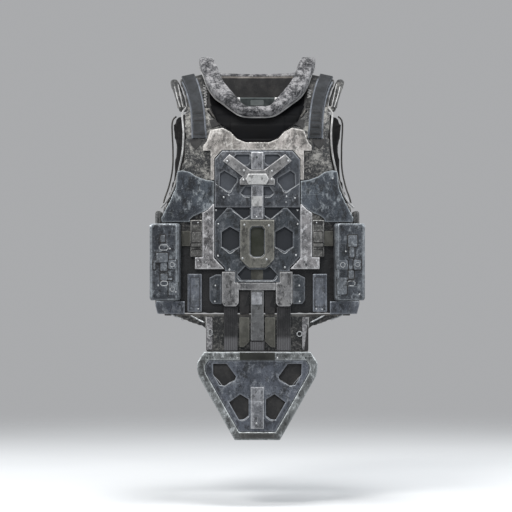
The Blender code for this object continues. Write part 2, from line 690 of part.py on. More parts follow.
def build_groin(paint, rim, dark, steel):
    """Pierced groin plate in a raised rim on a soft pad."""
    holes = [points(GROIN_UPPER), points(GROIN_UPPER, -1),
             points(GROIN_LOWER), points(GROIN_LOWER, -1)]
    rim_out = -(LAYER_GAP + LEG_T)
    strap_in = -(2 * LAYER_GAP + PLATE_T)
    layer("groin_pad", dark, both(GROIN_PAD), 0.0, APRON_T)
    layer("groin_rim", rim, both(GROIN_OUT), rim_out, -LAYER_GAP, holes=[both(GROIN_IN)])
    layer("groin_plate", paint, both(GROIN_PLATE), -(LAYER_GAP + PLATE_T), -LAYER_GAP,
          holes=holes)
    layer("groin_strap", steel, box_outline(-6.6, 6.6, 303.0, 345.0), strap_in - WEB_T, strap_in)
    layer("groin_insert", dark, box_outline(-17.5, 17.5, 268.3, 275.9),
          rim_out - LAYER_GAP - WEB_T, rim_out - LAYER_GAP)
    layer("groin_bar", steel, box_outline(-17.0, 17.0, 348.8, 354.6),
          rim_out - LAYER_GAP - WEB_T, rim_out - LAYER_GAP)


def main():
    """Build the vest."""
    clear_scene()
    cloth = material("padded_camouflage_cloth", (0.36, 0.37, 0.36), 0.9, 0.0)
    lining = material("dark_lining_cloth", (0.10, 0.11, 0.12), 0.9, 0.0)
    webbing = material("blue_grey_webbing", (0.13, 0.17, 0.21), 0.8, 0.0)
    paint = material("worn_grey_paint", (0.17, 0.19, 0.22), 0.5, 0.3)
    sand = material("worn_sand_paint", (0.40, 0.38, 0.34), 0.6, 0.1)
    dark = material("dark_polymer", (0.03, 0.035, 0.04), 0.5, 0.0)
    steel = material("worn_steel", (0.30, 0.32, 0.35), 0.4, 0.7)
    olive = material("olive_grey_paint", (0.15, 0.16, 0.14), 0.6, 0.1)
    build_soft_body(cloth, lining, webbing)
    build_throat(dark, steel)
    build_chest(paint, sand, dark, steel, olive)
    build_waist(paint, dark, webbing, steel)
    build_belly(paint, dark, webbing, olive, cloth)
    build_groin(paint, sand, dark, steel)


main()
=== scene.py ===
import math

import bmesh
import bpy
from mathutils import Matrix, Vector, noise
from mathutils.bvhtree import BVHTree
from mathutils.kdtree import KDTree


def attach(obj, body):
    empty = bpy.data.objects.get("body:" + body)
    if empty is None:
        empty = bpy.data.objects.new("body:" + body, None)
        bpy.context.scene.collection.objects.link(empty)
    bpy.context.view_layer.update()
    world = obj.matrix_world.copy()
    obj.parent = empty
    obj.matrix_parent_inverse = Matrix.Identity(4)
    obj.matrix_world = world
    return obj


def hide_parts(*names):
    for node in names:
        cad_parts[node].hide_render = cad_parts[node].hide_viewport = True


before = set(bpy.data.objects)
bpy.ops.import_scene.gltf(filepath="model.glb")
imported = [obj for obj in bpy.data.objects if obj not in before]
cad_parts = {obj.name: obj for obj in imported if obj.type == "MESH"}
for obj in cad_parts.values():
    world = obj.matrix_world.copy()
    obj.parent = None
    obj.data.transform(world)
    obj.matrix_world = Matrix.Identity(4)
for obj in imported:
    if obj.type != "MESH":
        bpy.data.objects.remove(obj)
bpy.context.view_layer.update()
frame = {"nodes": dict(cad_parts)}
NODES = frame["nodes"]

# The photograph's measure: metres that a pixel covers at the front of the vest, the column of its
# middle, the row of its shoulders, how far that row is below the origin, and the width in pixels
UNIT = 0.0022
MIDDLE_X = 257.3
SHOULDER_Y = 84.0
DATUM = 0.018
VIEW_WIDTH = 512
# The stage: how far off the camera stands, the floor's height, and what the lights face
FAR = 5.0
FLOOR = -0.95
AIM = (0.0, -0.1, -0.35)
# Surfaces: how far wear reaches in from an edge, the longest jump in a path found on one, how
# squarely a face looks inwards where it is lined, the angle that is still shaded smooth, and the
# widest slice of a hard piece
EDGE_REACH = 0.008
LEAP = 0.02
LINED_FROM = 0.35
SMOOTH_ANGLE = 35.0
SLICE = 0.004
# The cloth simulation: inner pressure and frames
PRESSURE = 4.0
FRAMES = 20
SIDES = (("left", 1), ("right", -1))
CLOTH = "padded_camouflage_cloth"


def at(px, py):
    """x and z in metres of a pixel of the photograph."""
    return (px - MIDDLE_X) * UNIT, -(DATUM + (py - SHOULDER_Y) * UNIT)


def share_of(table, value):
    """Straight-line value of a two-column table, held at both ends."""
    if value <= table[0][0]:
        return table[0][1]
    for (start, low), (end, high) in zip(table, table[1:]):
        if value <= end:
            return low + (high - low) * (value - start) / (end - start)
    return table[-1][1]


# How far the front lies behind its foremost plane, in hundredths of its depth: by pixels from the
# middle, and by pixels below the shoulders. Then the carriers' depths, the share of the lean that
# the back has, and half the width. All are as in the part
SWEEP = [(0, 0), (27, 0), (43, 3.4), (55, 8.3), (68, 15.2), (80, 23.4), (92, 34.5), (100, 45.5),
         (108, 58)]
LEAN = [(-20, 97), (0, 65.5), (10, 49.7), (20, 34.5), (30, 22.8), (40, 13.1), (56, 4.8), (75, 0),
        (268, 0), (357, 6)]
FRONT_DEPTH = 0.145
BACK_DEPTH = 0.125
BACK_LEAN = 0.8
HALF_WIDTH = 0.22


def front(px, py, lift=0.0):
    """A point on the front carrier's face, or in front of it by a lift."""
    x, z = at(px, py)
    back = share_of(SWEEP, abs(px - MIDDLE_X)) + share_of(LEAN, py - SHOULDER_Y)
    return Vector((x, FRONT_DEPTH * (back / 100 - 1) - lift, z))


def rear(px, py, lift=0.0):
    """A point on the back carrier's face, or behind it by a lift."""
    x, z = at(px, py)
    back = share_of(SWEEP, abs(px - MIDDLE_X)) + BACK_LEAN * share_of(LEAN, py - SHOULDER_Y)
    return Vector((x, BACK_DEPTH - FRONT_DEPTH * back / 100 + lift, z))


def mirrored(px):
    """The pixel column on the other side of the vest's middle."""
    return 2 * MIDDLE_X - px


# Materials

class Skin:
    """A material and the few calls that build its nodes."""

    def __init__(self, name, metallic=0.0, specular=0.5, sheen=0.0):
        self.material = bpy.data.materials.new(name)
        self.material.use_nodes = True
        self.tree = self.material.node_tree
        self.shader = self.tree.nodes["Principled BSDF"]
        self.shader.inputs["Metallic"].default_value = metallic
        self.shader.inputs["Specular IOR Level"].default_value = specular
        self.shader.inputs["Sheen Weight"].default_value = sheen
        self.place = self.add("TexCoord").outputs["Object"]

    def join(self, value, socket):
        """Link a value to a socket, or set it there."""
        if isinstance(value, bpy.types.NodeSocket):
            self.tree.links.new(value, socket)
        elif isinstance(value, tuple) and len(value) == 3 and socket.type == "RGBA":
            socket.default_value = (*value, 1.0)
        else:
            socket.default_value = value

    def add(self, kind, **values):
        """A new node with some of its inputs set or linked."""
        node = self.tree.nodes.new("ShaderNode" + kind)
        for name, value in values.items():
            self.join(value, node.inputs[name.replace("_", " ")])
        return node

    def calc(self, operation, first, second=0.0):
        """One step of arithmetic."""
        node = self.add("Math")
        node.operation = operation
        self.join(first, node.inputs[0])
        self.join(second, node.inputs[1])
        return node.outputs[0]

    def less(self, value):
        """What a value leaves of 1."""
        return self.calc("SUBTRACT", 1.0, value)

    def stretched(self, scale, turn=(0.0, 0.0, 0.0)):
        """The place on the object, scaled by axis and turned."""
        return self.add("Mapping", Vector=self.place, Scale=scale, Rotation=turn).outputs[0]

    def noise(self, scale, detail=4.0, rough=0.6, place=None):
        """Soft noise from 0 to 1."""
        return self.add("TexNoise", Vector=place or self.place, Scale=scale, Detail=detail,
                        Roughness=rough).outputs["Fac"]

    def step(self, value, low, high, start=0.0, end=1.0):
        """A smooth rise from start to end between two values."""
        node = self.add("MapRange", Value=value, From_Min=low, From_Max=high, To_Min=start,
                        To_Max=end)
        node.interpolation_type = "SMOOTHSTEP"
        return node.outputs["Result"]

    def blend(self, factor, first, second):
        """Mix two colours."""
        node = self.add("Mix")
        node.data_type = "RGBA"
        self.join(factor, node.inputs[0])
        self.join(first, node.inputs[6])
        self.join(second, node.inputs[7])
        return node.outputs[2]

    def parts(self, vector=None):
        """The X, Y and Z of a vector, or else of the place on the object."""
        return self.add("SeparateXYZ", Vector=vector or self.place).outputs

    def upward(self):
        """How far the surface looks up, from 0 to 1."""
        return self.step(self.parts(self.add("NewGeometry").outputs["Normal"])["Z"], -0.35, 0.45)

    def below(self, low, high, axis="Z"):
        """A fall from 1 to 0 between two places along an axis."""
        return self.less(self.step(self.parts()[axis], low, high))

    def edge(self):
        """How far a point is from an edge, as kept on the mesh, from 0 there to 1 at its reach."""
        node = self.add("Attribute")
        node.attribute_name = "edge"
        return node.outputs["Fac"]

    def weave(self, pitch):
        """Over-and-under threads on a cloth surface."""
        axes = self.parts()
        across = self.wave(self.calc("ADD", axes["X"], axes["Y"]), pitch)
        return self.calc("MULTIPLY", across, self.wave(axes["Z"], pitch))

    def wave(self, value, pitch):
        """A sine with one turn for each pitch."""
        return self.calc("SINE", self.calc("MULTIPLY", value, 2 * math.pi / pitch))

    def bump(self, height, distance, strength=1.0, under=None):
        """Raise the surface by a height from 0 to 1."""
        node = self.add("Bump", Distance=distance, Strength=strength, Height=height)
        if under is not None:
            self.join(under, node.inputs["Normal"])
        return node.outputs["Normal"]

    def finish(self, colour, roughness, normal):
        """Give the shader its colour, roughness and normal."""
        for word, value in (("Base Color", colour), ("Roughness", roughness), ("Normal", normal)):
            self.join(value, self.shader.inputs[word])
        return self.material


def scaled(factor, colour):
    """A colour made brighter or darker, with no channel over 1."""
    return tuple(min(1.0, factor * value) for value in colour)


def camouflage(name, light, middle, dark, share=0.5, scale=24.0, dim_below=None):
    """Padded cloth with soft generic blotches, a weave and dusty wear."""
    skin = Skin(name, specular=0.25, sheen=0.12)
    warp = skin.noise(scale, 5.0, 0.72)
    torn = skin.noise(scale * 4.3, 6.0, 0.75, skin.stretched((1.0, 1.0, 1.4), (0.3, 0.5, 0.8)))
    field = skin.calc("ADD", skin.calc("MULTIPLY", warp, 0.6), skin.calc("MULTIPLY", torn, 0.4))
    colour = skin.blend(skin.step(field, share - 0.02, share + 0.02), dark, middle)
    colour = skin.blend(skin.step(field, share + 0.03, share + 0.06), colour, light)
    speck = skin.noise(190.0, 5.0, 0.8)
    colour = skin.blend(skin.step(speck, 0.5, 0.66, 0.0, 0.85), colour, dark)
    colour = skin.blend(skin.step(speck, 0.48, 0.36, 0.0, 0.75), colour, light)
    if dim_below:
        low_front = skin.calc("MULTIPLY", skin.below(*dim_below), skin.below(-0.07, -0.03, "Y"))
        colour = skin.blend(low_front, colour, scaled(0.55, dark))
    rubbed = skin.step(skin.edge(), 0.1, 0.6, 0.4, 0.0)
    colour = skin.blend(rubbed, colour, scaled(1.3, light))
    normal = skin.bump(skin.weave(0.0013), 0.0003, 0.5)
    normal = skin.bump(skin.noise(70.0, 5.0, 0.6), 0.005, 0.7, normal)
    return skin.finish(colour, skin.step(speck, 0.2, 0.8, 0.8, 0.98), normal)


def plain_cloth(name, colour, lighter, pitch=0.0014, sheen=0.15, ribs=None, rub=0.5,
                pale_below=None, specular=0.3, rough=0.7):
    """Woven cloth or webbing of one dye, worn paler in places."""
    skin = Skin(name, specular=specular, sheen=sheen)
    patch = skin.noise(34.0, 5.0, 0.7)
    shade = skin.blend(skin.step(patch, 0.42, 0.66), colour, lighter)
    dust = skin.noise(240.0, 4.0, 0.75)
    shade = skin.blend(skin.step(dust, 0.45, 0.75, 0.0, 0.45), shade, lighter)
    if pale_below:
        shade = skin.blend(skin.below(*pale_below), shade, scaled(3.0, lighter))
    rubbed = skin.step(skin.edge(), 0.03, 0.3, rub, 0.0)
    shade = skin.blend(rubbed, shade, scaled(1.7, lighter))
    normal = skin.bump(skin.weave(pitch), 0.0004, 0.6)
    if ribs:
        wave = skin.wave(skin.parts()["X"], ribs)
        # Darker down in the grooves between the ribs: painted shade.
        shade = skin.blend(skin.step(wave, -1.0, 0.6, 0.4, 0.0), shade, scaled(0.35, colour))
        normal = skin.bump(wave, 0.0005, 0.5, normal)
    normal = skin.bump(skin.noise(90.0, 4.0, 0.6), 0.002, 0.4, normal)
    return skin.finish(shade, skin.step(dust, 0.2, 0.8, rough, rough + 0.22), normal)


def paint(name, base, shade, bare, metallic=0.25, rough=0.46, wear=0.2, patchy=0.35, scale=16.0):
    """Painted plate: uneven coat, grime, scratches, bared edges, painted highlight on upward edges.
    """
    skin = Skin(name, metallic=metallic, specular=0.5)
    broad = skin.noise(scale, 4.0, 0.62)
    fine = skin.noise(150.0, 6.0, 0.75)
    colour = skin.blend(skin.step(broad, 0.38, 0.62), shade, base)
    mottle = skin.noise(scale * 3.4, 6.0, 0.78, skin.stretched((1.0, 1.0, 0.7), (0.2, 0.7, 0.4)))
    colour = skin.blend(skin.step(mottle, 0.5, 0.62, 0.0, patchy * 1.4), colour, bare)
    dirt = skin.noise(45.0, 6.0, 0.8, skin.stretched((1.3, 1.0, 0.8), (1.1, 0.2, 0.5)))
    grime = scaled(0.22, shade)
    colour = skin.blend(skin.step(dirt, 0.49, 0.6, 0.0, 0.85), colour, grime)
    speck = skin.noise(330.0, 4.0, 0.8)
    colour = skin.blend(skin.step(speck, 0.52, 0.7, 0.0, 0.55), colour, grime)
    colour = skin.blend(skin.step(speck, 0.45, 0.3, 0.0, 0.5), colour, bare)
    scored = skin.noise(6.0, 3.0, 0.6, skin.stretched((3.0, 3.0, 90.0), (0.0, 0.6, 0.0)))
    crossed = skin.noise(6.0, 3.0, 0.6, skin.stretched((70.0, 3.0, 3.0), (0.0, 0.35, 0.0)))
    scratch = skin.calc("MAXIMUM", skin.step(scored, 0.67, 0.7), skin.step(crossed, 0.68, 0.71))
    edge = skin.edge()
    ragged = skin.calc("ADD", edge,
                       skin.calc("MULTIPLY", skin.calc("SUBTRACT", fine, 0.5), 0.9))
    # Edge wear is kept whole only where the surface looks up and fades elsewhere: real wear plus a
    # painted highlight of the light from above.
    worn = skin.calc("MULTIPLY", skin.step(ragged, wear * 0.4, wear * 1.3, 1.0, 0.0),
                     skin.step(skin.upward(), 0.0, 1.0, 0.12, 1.0))
    colour = skin.blend(skin.step(edge, 0.0, 0.7, 0.3, 0.0), colour, bare)
    bared_and_top_lit = skin.calc("MAXIMUM", skin.calc("MULTIPLY", scratch, 0.35), worn)
    colour = skin.blend(bared_and_top_lit, colour, scaled(1.5, bare))
    roughness = skin.calc("SUBTRACT", skin.step(fine, 0.2, 0.8, rough - 0.1, rough + 0.2),
                          skin.calc("MULTIPLY", bared_and_top_lit, 0.14))
    normal = skin.bump(fine, 0.0006, 0.6)
    normal = skin.bump(skin.less(scratch), 0.0003, 0.5, normal)
    normal = skin.bump(skin.noise(38.0, 3.0, 0.5), 0.0026, 0.45, normal)
    return skin.finish(colour, roughness, normal)


def polymer(name, base, lighter, rough=0.5, rub=0.3, specular=0.12, dim_below=None):
    """Dark moulded plastic with a fine grain and rubbed places."""
    skin = Skin(name, specular=specular)
    broad = skin.noise(20.0, 4.0, 0.6)
    grain = skin.noise(900.0, 2.0, 0.5)
    colour = skin.blend(skin.step(broad, 0.35, 0.7), base, lighter)
    if dim_below:
        colour = skin.blend(skin.below(*dim_below), colour, scaled(0.46, base))
    rubbed = skin.step(skin.edge(), 0.02, 0.3, rub, 0.0)
    colour = skin.blend(rubbed, colour, scaled(3.0, lighter))
    normal = skin.bump(grain, 0.0003, 0.35)
    normal = skin.bump(skin.noise(60.0, 3.0, 0.5), 0.0012, 0.3, normal)
    return skin.finish(colour, skin.step(broad, 0.3, 0.7, rough - 0.06, rough + 0.12), normal)


def bare_metal(name, colour, dull, rough=0.32):
    """Worn steel of the rivets, hooks and bolts."""
    skin = Skin(name, metallic=0.7, specular=0.5)
    fine = skin.noise(420.0, 5.0, 0.7)
    shade = skin.blend(skin.step(fine, 0.35, 0.7), dull, colour)
    normal = skin.bump(fine, 0.0002, 0.4)
    return skin.finish(shade, skin.step(fine, 0.3, 0.8, rough, rough + 0.25), normal)


CAMO = camouflage("padded_camouflage", (0.26, 0.255, 0.24), (0.105, 0.104, 0.1),
                  (0.026, 0.027, 0.029), share=0.5, dim_below=(-0.37, -0.30))
CAMO_DARK = camouflage("dim_camouflage", (0.12, 0.118, 0.112), (0.05, 0.05, 0.049),
                       (0.016, 0.017, 0.018), share=0.52, scale=34.0)
COLLAR_CLOTH = camouflage("collar_cloth", (0.25, 0.248, 0.255), (0.07, 0.07, 0.076),
                          (0.008, 0.009, 0.011), share=0.47, scale=48.0)
LINING = plain_cloth("dark_lining", (0.014, 0.014, 0.015), (0.032, 0.031, 0.031), rub=0.2)
PIPING = plain_cloth("pale_piping", (0.26, 0.26, 0.26), (0.5, 0.5, 0.5), pitch=0.0009)
# A darker copy of the pale piping, for the neckline, and as painted shade on the back armholes and
# at the hem.
DIM_PIPING = plain_cloth("dim_piping", (0.035, 0.033, 0.031), (0.11, 0.104, 0.095), pitch=0.0009)
STRAP_CLOTH = plain_cloth("blue_grey_webbing", (0.009, 0.0105, 0.0125), (0.024, 0.027, 0.0315),
                          pitch=0.0022, rub=0.9, sheen=0.02, rough=0.55)
STRAP_EDGE = plain_cloth("strap_edging", (0.07, 0.08, 0.098), (0.16, 0.175, 0.2), pitch=0.0009)
OLIVE_CLOTH = plain_cloth("olive_webbing", (0.04, 0.04, 0.034), (0.085, 0.084, 0.074), pitch=0.0022)
RIB_CLOTH = plain_cloth("ribbed_webbing", (0.009, 0.0095, 0.011), (0.03, 0.03, 0.032), pitch=0.002,
                        ribs=0.0048, pale_below=(-0.582, -0.57))
THREAD = plain_cloth("pale_thread", (0.2, 0.2, 0.19), (0.36, 0.36, 0.34), pitch=0.0006)
PAINT = paint("worn_grey_paint", (0.048, 0.055, 0.067), (0.022, 0.026, 0.033), (0.18, 0.19, 0.207),
              patchy=0.4, scale=20.0)
LOWER_PAINT = paint("lower_plate_paint", (0.03, 0.037, 0.046), (0.014, 0.018, 0.023),
                    (0.15, 0.16, 0.175), patchy=0.4, scale=20.0)
BLUE_PAINT = paint("worn_blue_paint", (0.058, 0.071, 0.088), (0.02, 0.025, 0.034),
                   (0.25, 0.275, 0.295), patchy=0.6, scale=12.0)
SKIRT_PAINT = paint("worn_skirt_paint", (0.076, 0.086, 0.108), (0.034, 0.04, 0.052),
                    (0.22, 0.235, 0.26), patchy=0.45, scale=26.0)
RAISED_PAINT = paint("worn_plain_paint", (0.17, 0.17, 0.172), (0.085, 0.086, 0.09),
                     (0.34, 0.34, 0.345), scale=22.0)
SAND = paint("worn_sand_paint", (0.3, 0.281, 0.268), (0.12, 0.112, 0.104), (0.52, 0.505, 0.485),
             metallic=0.05, rough=0.58, wear=0.09, patchy=0.45, scale=18.0)
RIM_PAINT = paint("worn_rim_paint", (0.13, 0.139, 0.14), (0.05, 0.054, 0.054), (0.4, 0.425, 0.435),
                  metallic=0.1, rough=0.55, patchy=0.55, scale=22.0)
RAIL_PAINT = paint("worn_rail_paint", (0.2, 0.195, 0.2), (0.075, 0.075, 0.08), (0.5, 0.5, 0.515),
                   metallic=0.1, rough=0.52, patchy=0.6, scale=24.0)
BRIGHT_PAINT = paint("bright_bracket_paint", (0.34, 0.345, 0.345), (0.25, 0.253, 0.253),
                     (0.5, 0.5, 0.5), metallic=0.1, patchy=0.2)
# Pale bare metal for rings and rims, also used for painted highlights on the lower edges of
# cut-outs.
LIP = paint("pale_lip_and_highlight", (0.42, 0.435, 0.45), (0.25, 0.26, 0.272), (0.6, 0.61, 0.62),
            metallic=0.3, patchy=0.4, scale=60.0)
OLIVE = paint("worn_olive_paint", (0.11, 0.108, 0.095), (0.06, 0.06, 0.053), (0.2, 0.198, 0.18),
              metallic=0.1)
SLATE = polymer("slate_backing", (0.052, 0.057, 0.066), (0.078, 0.085, 0.098), rough=0.6,
                dim_below=(-0.29, -0.27))
INSERT = polymer("insert_polymer", (0.014, 0.0145, 0.0135), (0.03, 0.031, 0.028), rough=0.55)
POLYMER = polymer("dark_polymer", (0.0012, 0.0013, 0.0017), (0.003, 0.0032, 0.004), rough=0.55,
                  specular=0.05)
BAR_LIGHT = polymer("bar_middle", (0.07, 0.08, 0.08), (0.13, 0.14, 0.14), rough=0.45, rub=0.8)
BAR_PAINT = polymer("bar_polymer", (0.016, 0.019, 0.02), (0.06, 0.07, 0.07), rough=0.45, rub=0.8)
OLIVE_DARK = polymer("olive_insert", (0.022, 0.024, 0.018), (0.045, 0.047, 0.04), rough=0.55)
NECK_RIM = plain_cloth("neck_rim", (0.1, 0.09, 0.082), (0.2, 0.185, 0.172), pitch=0.0011)
BOX_PAINT = paint("box_paint", (0.045, 0.052, 0.063), (0.02, 0.024, 0.031), (0.22, 0.24, 0.26),
                  metallic=0.25, rough=0.42, patchy=0.5, scale=20.0)
# The box paint made lighter for the raised blocks on the boxes: painted light on their faces.
LIT_RELIEF_PAINT = paint("lit_relief_paint", (0.065, 0.074, 0.088), (0.03, 0.035, 0.043),
                     (0.3, 0.325, 0.35), metallic=0.25, patchy=0.5, scale=60.0)
BUCKLE_PAINT = paint("buckle_paint", (0.07, 0.069, 0.066), (0.03, 0.03, 0.029),
                     (0.24, 0.238, 0.23), patchy=0.5, scale=60.0)
STRAP_PAINT = paint("strap_metal", (0.19, 0.196, 0.212), (0.09, 0.094, 0.106), (0.4, 0.41, 0.43),
                    metallic=0.2, rough=0.42, patchy=0.4, scale=24.0)
DARK_BAR = paint("dark_bar", (0.036, 0.037, 0.035), (0.022, 0.023, 0.022), (0.1, 0.1, 0.098),
                 metallic=0.1, rough=0.6)
DULL_STRAP = paint("dull_strap", (0.084, 0.087, 0.09), (0.058, 0.06, 0.063), (0.14, 0.143, 0.147),
                   metallic=0.1, rough=0.6)
CLIP_PAINT = paint("pale_clip", (0.5, 0.5, 0.49), (0.3, 0.3, 0.3), (0.75, 0.75, 0.74), metallic=0.1)
STEEL = bare_metal("bright_steel", (0.62, 0.63, 0.64), (0.3, 0.31, 0.32))


# Meshes

def linked(name, data):
    """A new object in the scene."""
    made = bpy.data.objects.new(name, data)
    bpy.context.scene.collection.objects.link(made)
    return made


def keep(name, bm, skin):
    """Turn a mesh under work into an object with one material."""
    bmesh.ops.recalc_face_normals(bm, faces=bm.faces[:])
    for face in bm.faces:
        face.smooth = True
        face.material_index = 0
    mesh = bpy.data.meshes.new(name)
    bm.to_mesh(mesh)
    bm.free()
    mesh.materials.append(skin)
    mesh.set_sharp_from_angle(angle=math.radians(SMOOTH_ANGLE))
    return linked(name, mesh)


def node_mesh(node):
    """The CAD node's shape as a welded mesh under work, with its flat faces whole."""
    bm = bmesh.new()
    bm.from_mesh(NODES[node].data)
    bmesh.ops.remove_doubles(bm, verts=bm.verts[:], dist=1e-6)
    bmesh.ops.dissolve_limit(bm, angle_limit=math.radians(0.6), verts=bm.verts[:],
                             edges=bm.edges[:])
    return bm


def sharp_edges(bm, angle=30.0):
    """Edges where two faces meet at more than an angle."""
    limit = math.radians(angle)
    return [edge for edge in bm.edges
            if edge.is_manifold and edge.calc_face_angle() > limit]


def along(start, end, pitch):
    """Points at an even pitch from a start, short of the end."""
    count = max(1, int((end - start).length / pitch))
    return [start.lerp(end, step / count) for step in range(count)]


def edge_samples(edges):
    """Points along edges, for measuring how near a place is to one."""
    spots = []
    for edge in edges:
        start, end = (vert.co for vert in edge.verts)
        spots += along(start, end, 0.0015) + [end.copy()]
    return spots


def nearest(spots):
    """A call that gives a place's distance from the nearest of some spots."""
    tree = KDTree(len(spots))
    for index, spot in enumerate(spots):
        tree.insert(spot, index)
    tree.balance()
    return lambda place: tree.find(place)[2]


def mark_edges(made, spots, reach=EDGE_REACH):
    """Keep on each point how far it is from the nearest sample, from 0 to 1, or 1 with none."""
    away = nearest(spots) if spots else lambda place: reach
    layer = made.data.attributes.new("edge", "FLOAT", "POINT")
    layer.data.foreach_set("value", [min(1.0, away(vert.co) / reach)
                                     for vert in made.data.vertices])


def slice_up(bm, pitch):
    """Cut every face by upright and level planes, so that no face is wider than a pitch."""
    low = [min(vert.co[axis] for vert in bm.verts) for axis in range(3)]
    high = [max(vert.co[axis] for vert in bm.verts) for axis in range(3)]
    for axis in (0, 2):
        normal = Vector((0, 0, 0))
        normal[axis] = 1
        count = max(1, int(round((high[axis] - low[axis]) / pitch)))
        for step in range(1, count):
            spot = Vector((0, 0, 0))
            spot[axis] = low[axis] + (high[axis] - low[axis]) * step / count
            everything = bm.verts[:] + bm.edges[:] + bm.faces[:]
            bmesh.ops.bisect_plane(bm, geom=everything, dist=1e-5, plane_co=spot, plane_no=normal)


TREES = {}


def keep_tree(node, mesh):
    """Let later pieces find this surface under the node's name."""
    TREES[node] = BVHTree.FromPolygons([vert.co.copy() for vert in mesh.vertices],
                                       [tuple(face.vertices) for face in mesh.polygons])


def stand_in(made, node, spots, reach=EDGE_REACH):
    """Let a drawn piece take its node's place and carry its wear."""
    mark_edges(made, spots, reach)
    keep_tree(node, made.data)
    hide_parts(node)
    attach(made, "root")


def dress(node, skin, round_off, relax=0):
    """A hard node drawn again with rounded edges and enough points to carry its wear."""
    bm = node_mesh(node)
    sharp = sharp_edges(bm)
    spots = edge_samples(sharp)
    bmesh.ops.bevel(bm, geom=sharp, offset=round_off, segments=2, profile=0.6,
                    affect="EDGES", clamp_overlap=True)
    slice_up(bm, SLICE)
    for _ in range(relax):
        bmesh.ops.smooth_vert(bm, verts=bm.verts[:], factor=0.5, use_axis_y=True)
    stand_in(keep(node + "_dressed", bm, skin), node, spots)


def with_modifier(made, kind, **facts):
    """Apply one modifier and keep only its result."""
    modifier = made.modifiers.new(kind.lower(), kind)
    for word, value in facts.items():
        setattr(modifier, word, value)
    bpy.context.view_layer.update()
    graph = bpy.context.evaluated_depsgraph_get()
    result = bpy.data.meshes.new_from_object(made.evaluated_get(graph))
    made.modifiers.clear()
    old, made.data = made.data, result
    bpy.data.meshes.remove(old)


def push(made, amount):
    """Move every point along its normal by an amount that depends on its place."""
    moves = [vert.normal * amount(vert.co) for vert in made.data.vertices]
    for vert, move in zip(made.data.vertices, moves):
        vert.co += move
    made.data.update()


def swell(made, cap):
    """Blow the pad up as cloth, with a limit on how far any point may go."""
    before = [vert.co.copy() for vert in made.data.vertices]
    modifier = made.modifiers.new("cloth", "CLOTH")
    cloth = modifier.settings
    cloth.use_pressure = True
    cloth.uniform_pressure_force = PRESSURE
    cloth.quality = 4
    cloth.tension_stiffness = 20
    cloth.compression_stiffness = 20
    cloth.bending_stiffness = 0.6
    cloth.effector_weights.gravity = 0.0
    modifier.collision_settings.use_collision = False
    scene = bpy.context.scene
    for step in range(1, FRAMES + 1):
        scene.frame_set(step)
    graph = bpy.context.evaluated_depsgraph_get()
    after = [vert.co.copy() for vert in made.evaluated_get(graph).to_mesh().vertices]
    made.modifiers.clear()
    scene.frame_set(1)
    for vert, start, end in zip(made.data.vertices, before, after):
        move = end - start
        if move.length > cap:
            move *= cap / move.length
        vert.co = start + move


def soft(node, skin, voxel, shrink, cap, slot=CLOTH, smooth=3, stretch=(0.0, 0.0), widen=0.0,
         **finish):
    """A padded node drawn again as filled cloth."""
    bm = node_mesh(node)
    spots = edge_samples(sharp_edges(bm, 40.0))
    bmesh.ops.triangulate(bm, faces=bm.faces[:])
    bmesh.ops.recalc_face_normals(bm, faces=bm.faces[:])
    bm.normal_update()
    moves = [(vert, vert.normal.copy()) for vert in bm.verts]
    top = max(vert.co.z for vert in bm.verts) - 0.003
    bottom = min(vert.co.z for vert in bm.verts) + 0.003
    for vert, normal in moves:
        past = stretch[0] * (vert.co.z > top) - stretch[1] * (vert.co.z < bottom)
        vert.co -= normal * shrink * vert.calc_shell_factor()
        vert.co.z += past
        vert.co.y += math.copysign(widen, normal.y) * (abs(normal.y) > 0.3)
    made = keep(node + "_filled", bm, skin)
    with_modifier(made, "REMESH", mode="VOXEL", voxel_size=voxel, use_smooth_shade=True)
    with_modifier(made, "SMOOTH", factor=0.5, iterations=smooth)
    fill_out(made, node, spots, cap, slot, shrink=shrink, **finish)


def fill_out(made, node, spots, cap, slot=CLOTH, creases=0.0, fill=0.6, seams=(), lined=None,
             shrink=0.0, reach=EDGE_REACH):
    """Swell a pad, press in its seams, crease it, line it and let it replace its node."""
    swell(made, cap)
    for path, width, depth in seams:
        sink(made, path, width, depth)
    if creases:
        push(made, lambda place: creases * (noise.noise(place * 55.0)
                                            + 0.5 * noise.noise(place * 126.0)))
    with_modifier(made, "SUBSURF", levels=1, render_levels=1)
    for face in made.data.polygons:
        face.use_smooth = True
    if lined:
        made.data.materials.append(LINING)
        for face in made.data.polygons:
            face.material_index = int(face.normal.dot(Vector(lined)) > LINED_FROM)
    stand_in(made, node, spots, reach)


def sink(made, path, width, depth):
    """Press a seam into a soft piece along a path."""
    spots = [spot for start, end in zip(path, path[1:]) for spot in along(start, end, 0.002)]
    away = nearest(spots)
    push(made, lambda place: -depth * max(0.0, 1 - away(place) / width) ** 2)


def tree_of(node):
    """A search tree of the faces drawn for a node, or of its own."""
    if node not in TREES:
        keep_tree(node, NODES[node].data)
    return TREES[node]


def hit(px, py, *names, back=False):
    """Where a line through a pixel meets the nearest of some nodes, and the face's normal."""
    x, z = at(px, py)
    start, run = ((x, 1.0, z), (0, -1, 0)) if back else ((x, -1.0, z), (0, 1, 0))
    best = None
    for name in names or NODES:
        found = tree_of(name).ray_cast(Vector(start), Vector(run))
        if found[0] is not None and (best is None or found[3] < best[2]):
            best = (found[0], found[1], found[3])
    if best is None:
        return None
    normal = best[1] if best[1].dot(Vector(run)) < 0 else -best[1]
    return best[0], normal


def placed(spot, normal):
    """A matrix that stands a small piece on a surface, with its own z along the normal."""
    side = Vector((0, 0, 1)).cross(normal).normalized()
    top = normal.cross(side).normalized()
    turn = Matrix((side, top, normal)).transposed().to_4x4()
    return Matrix.Translation(spot) @ turn


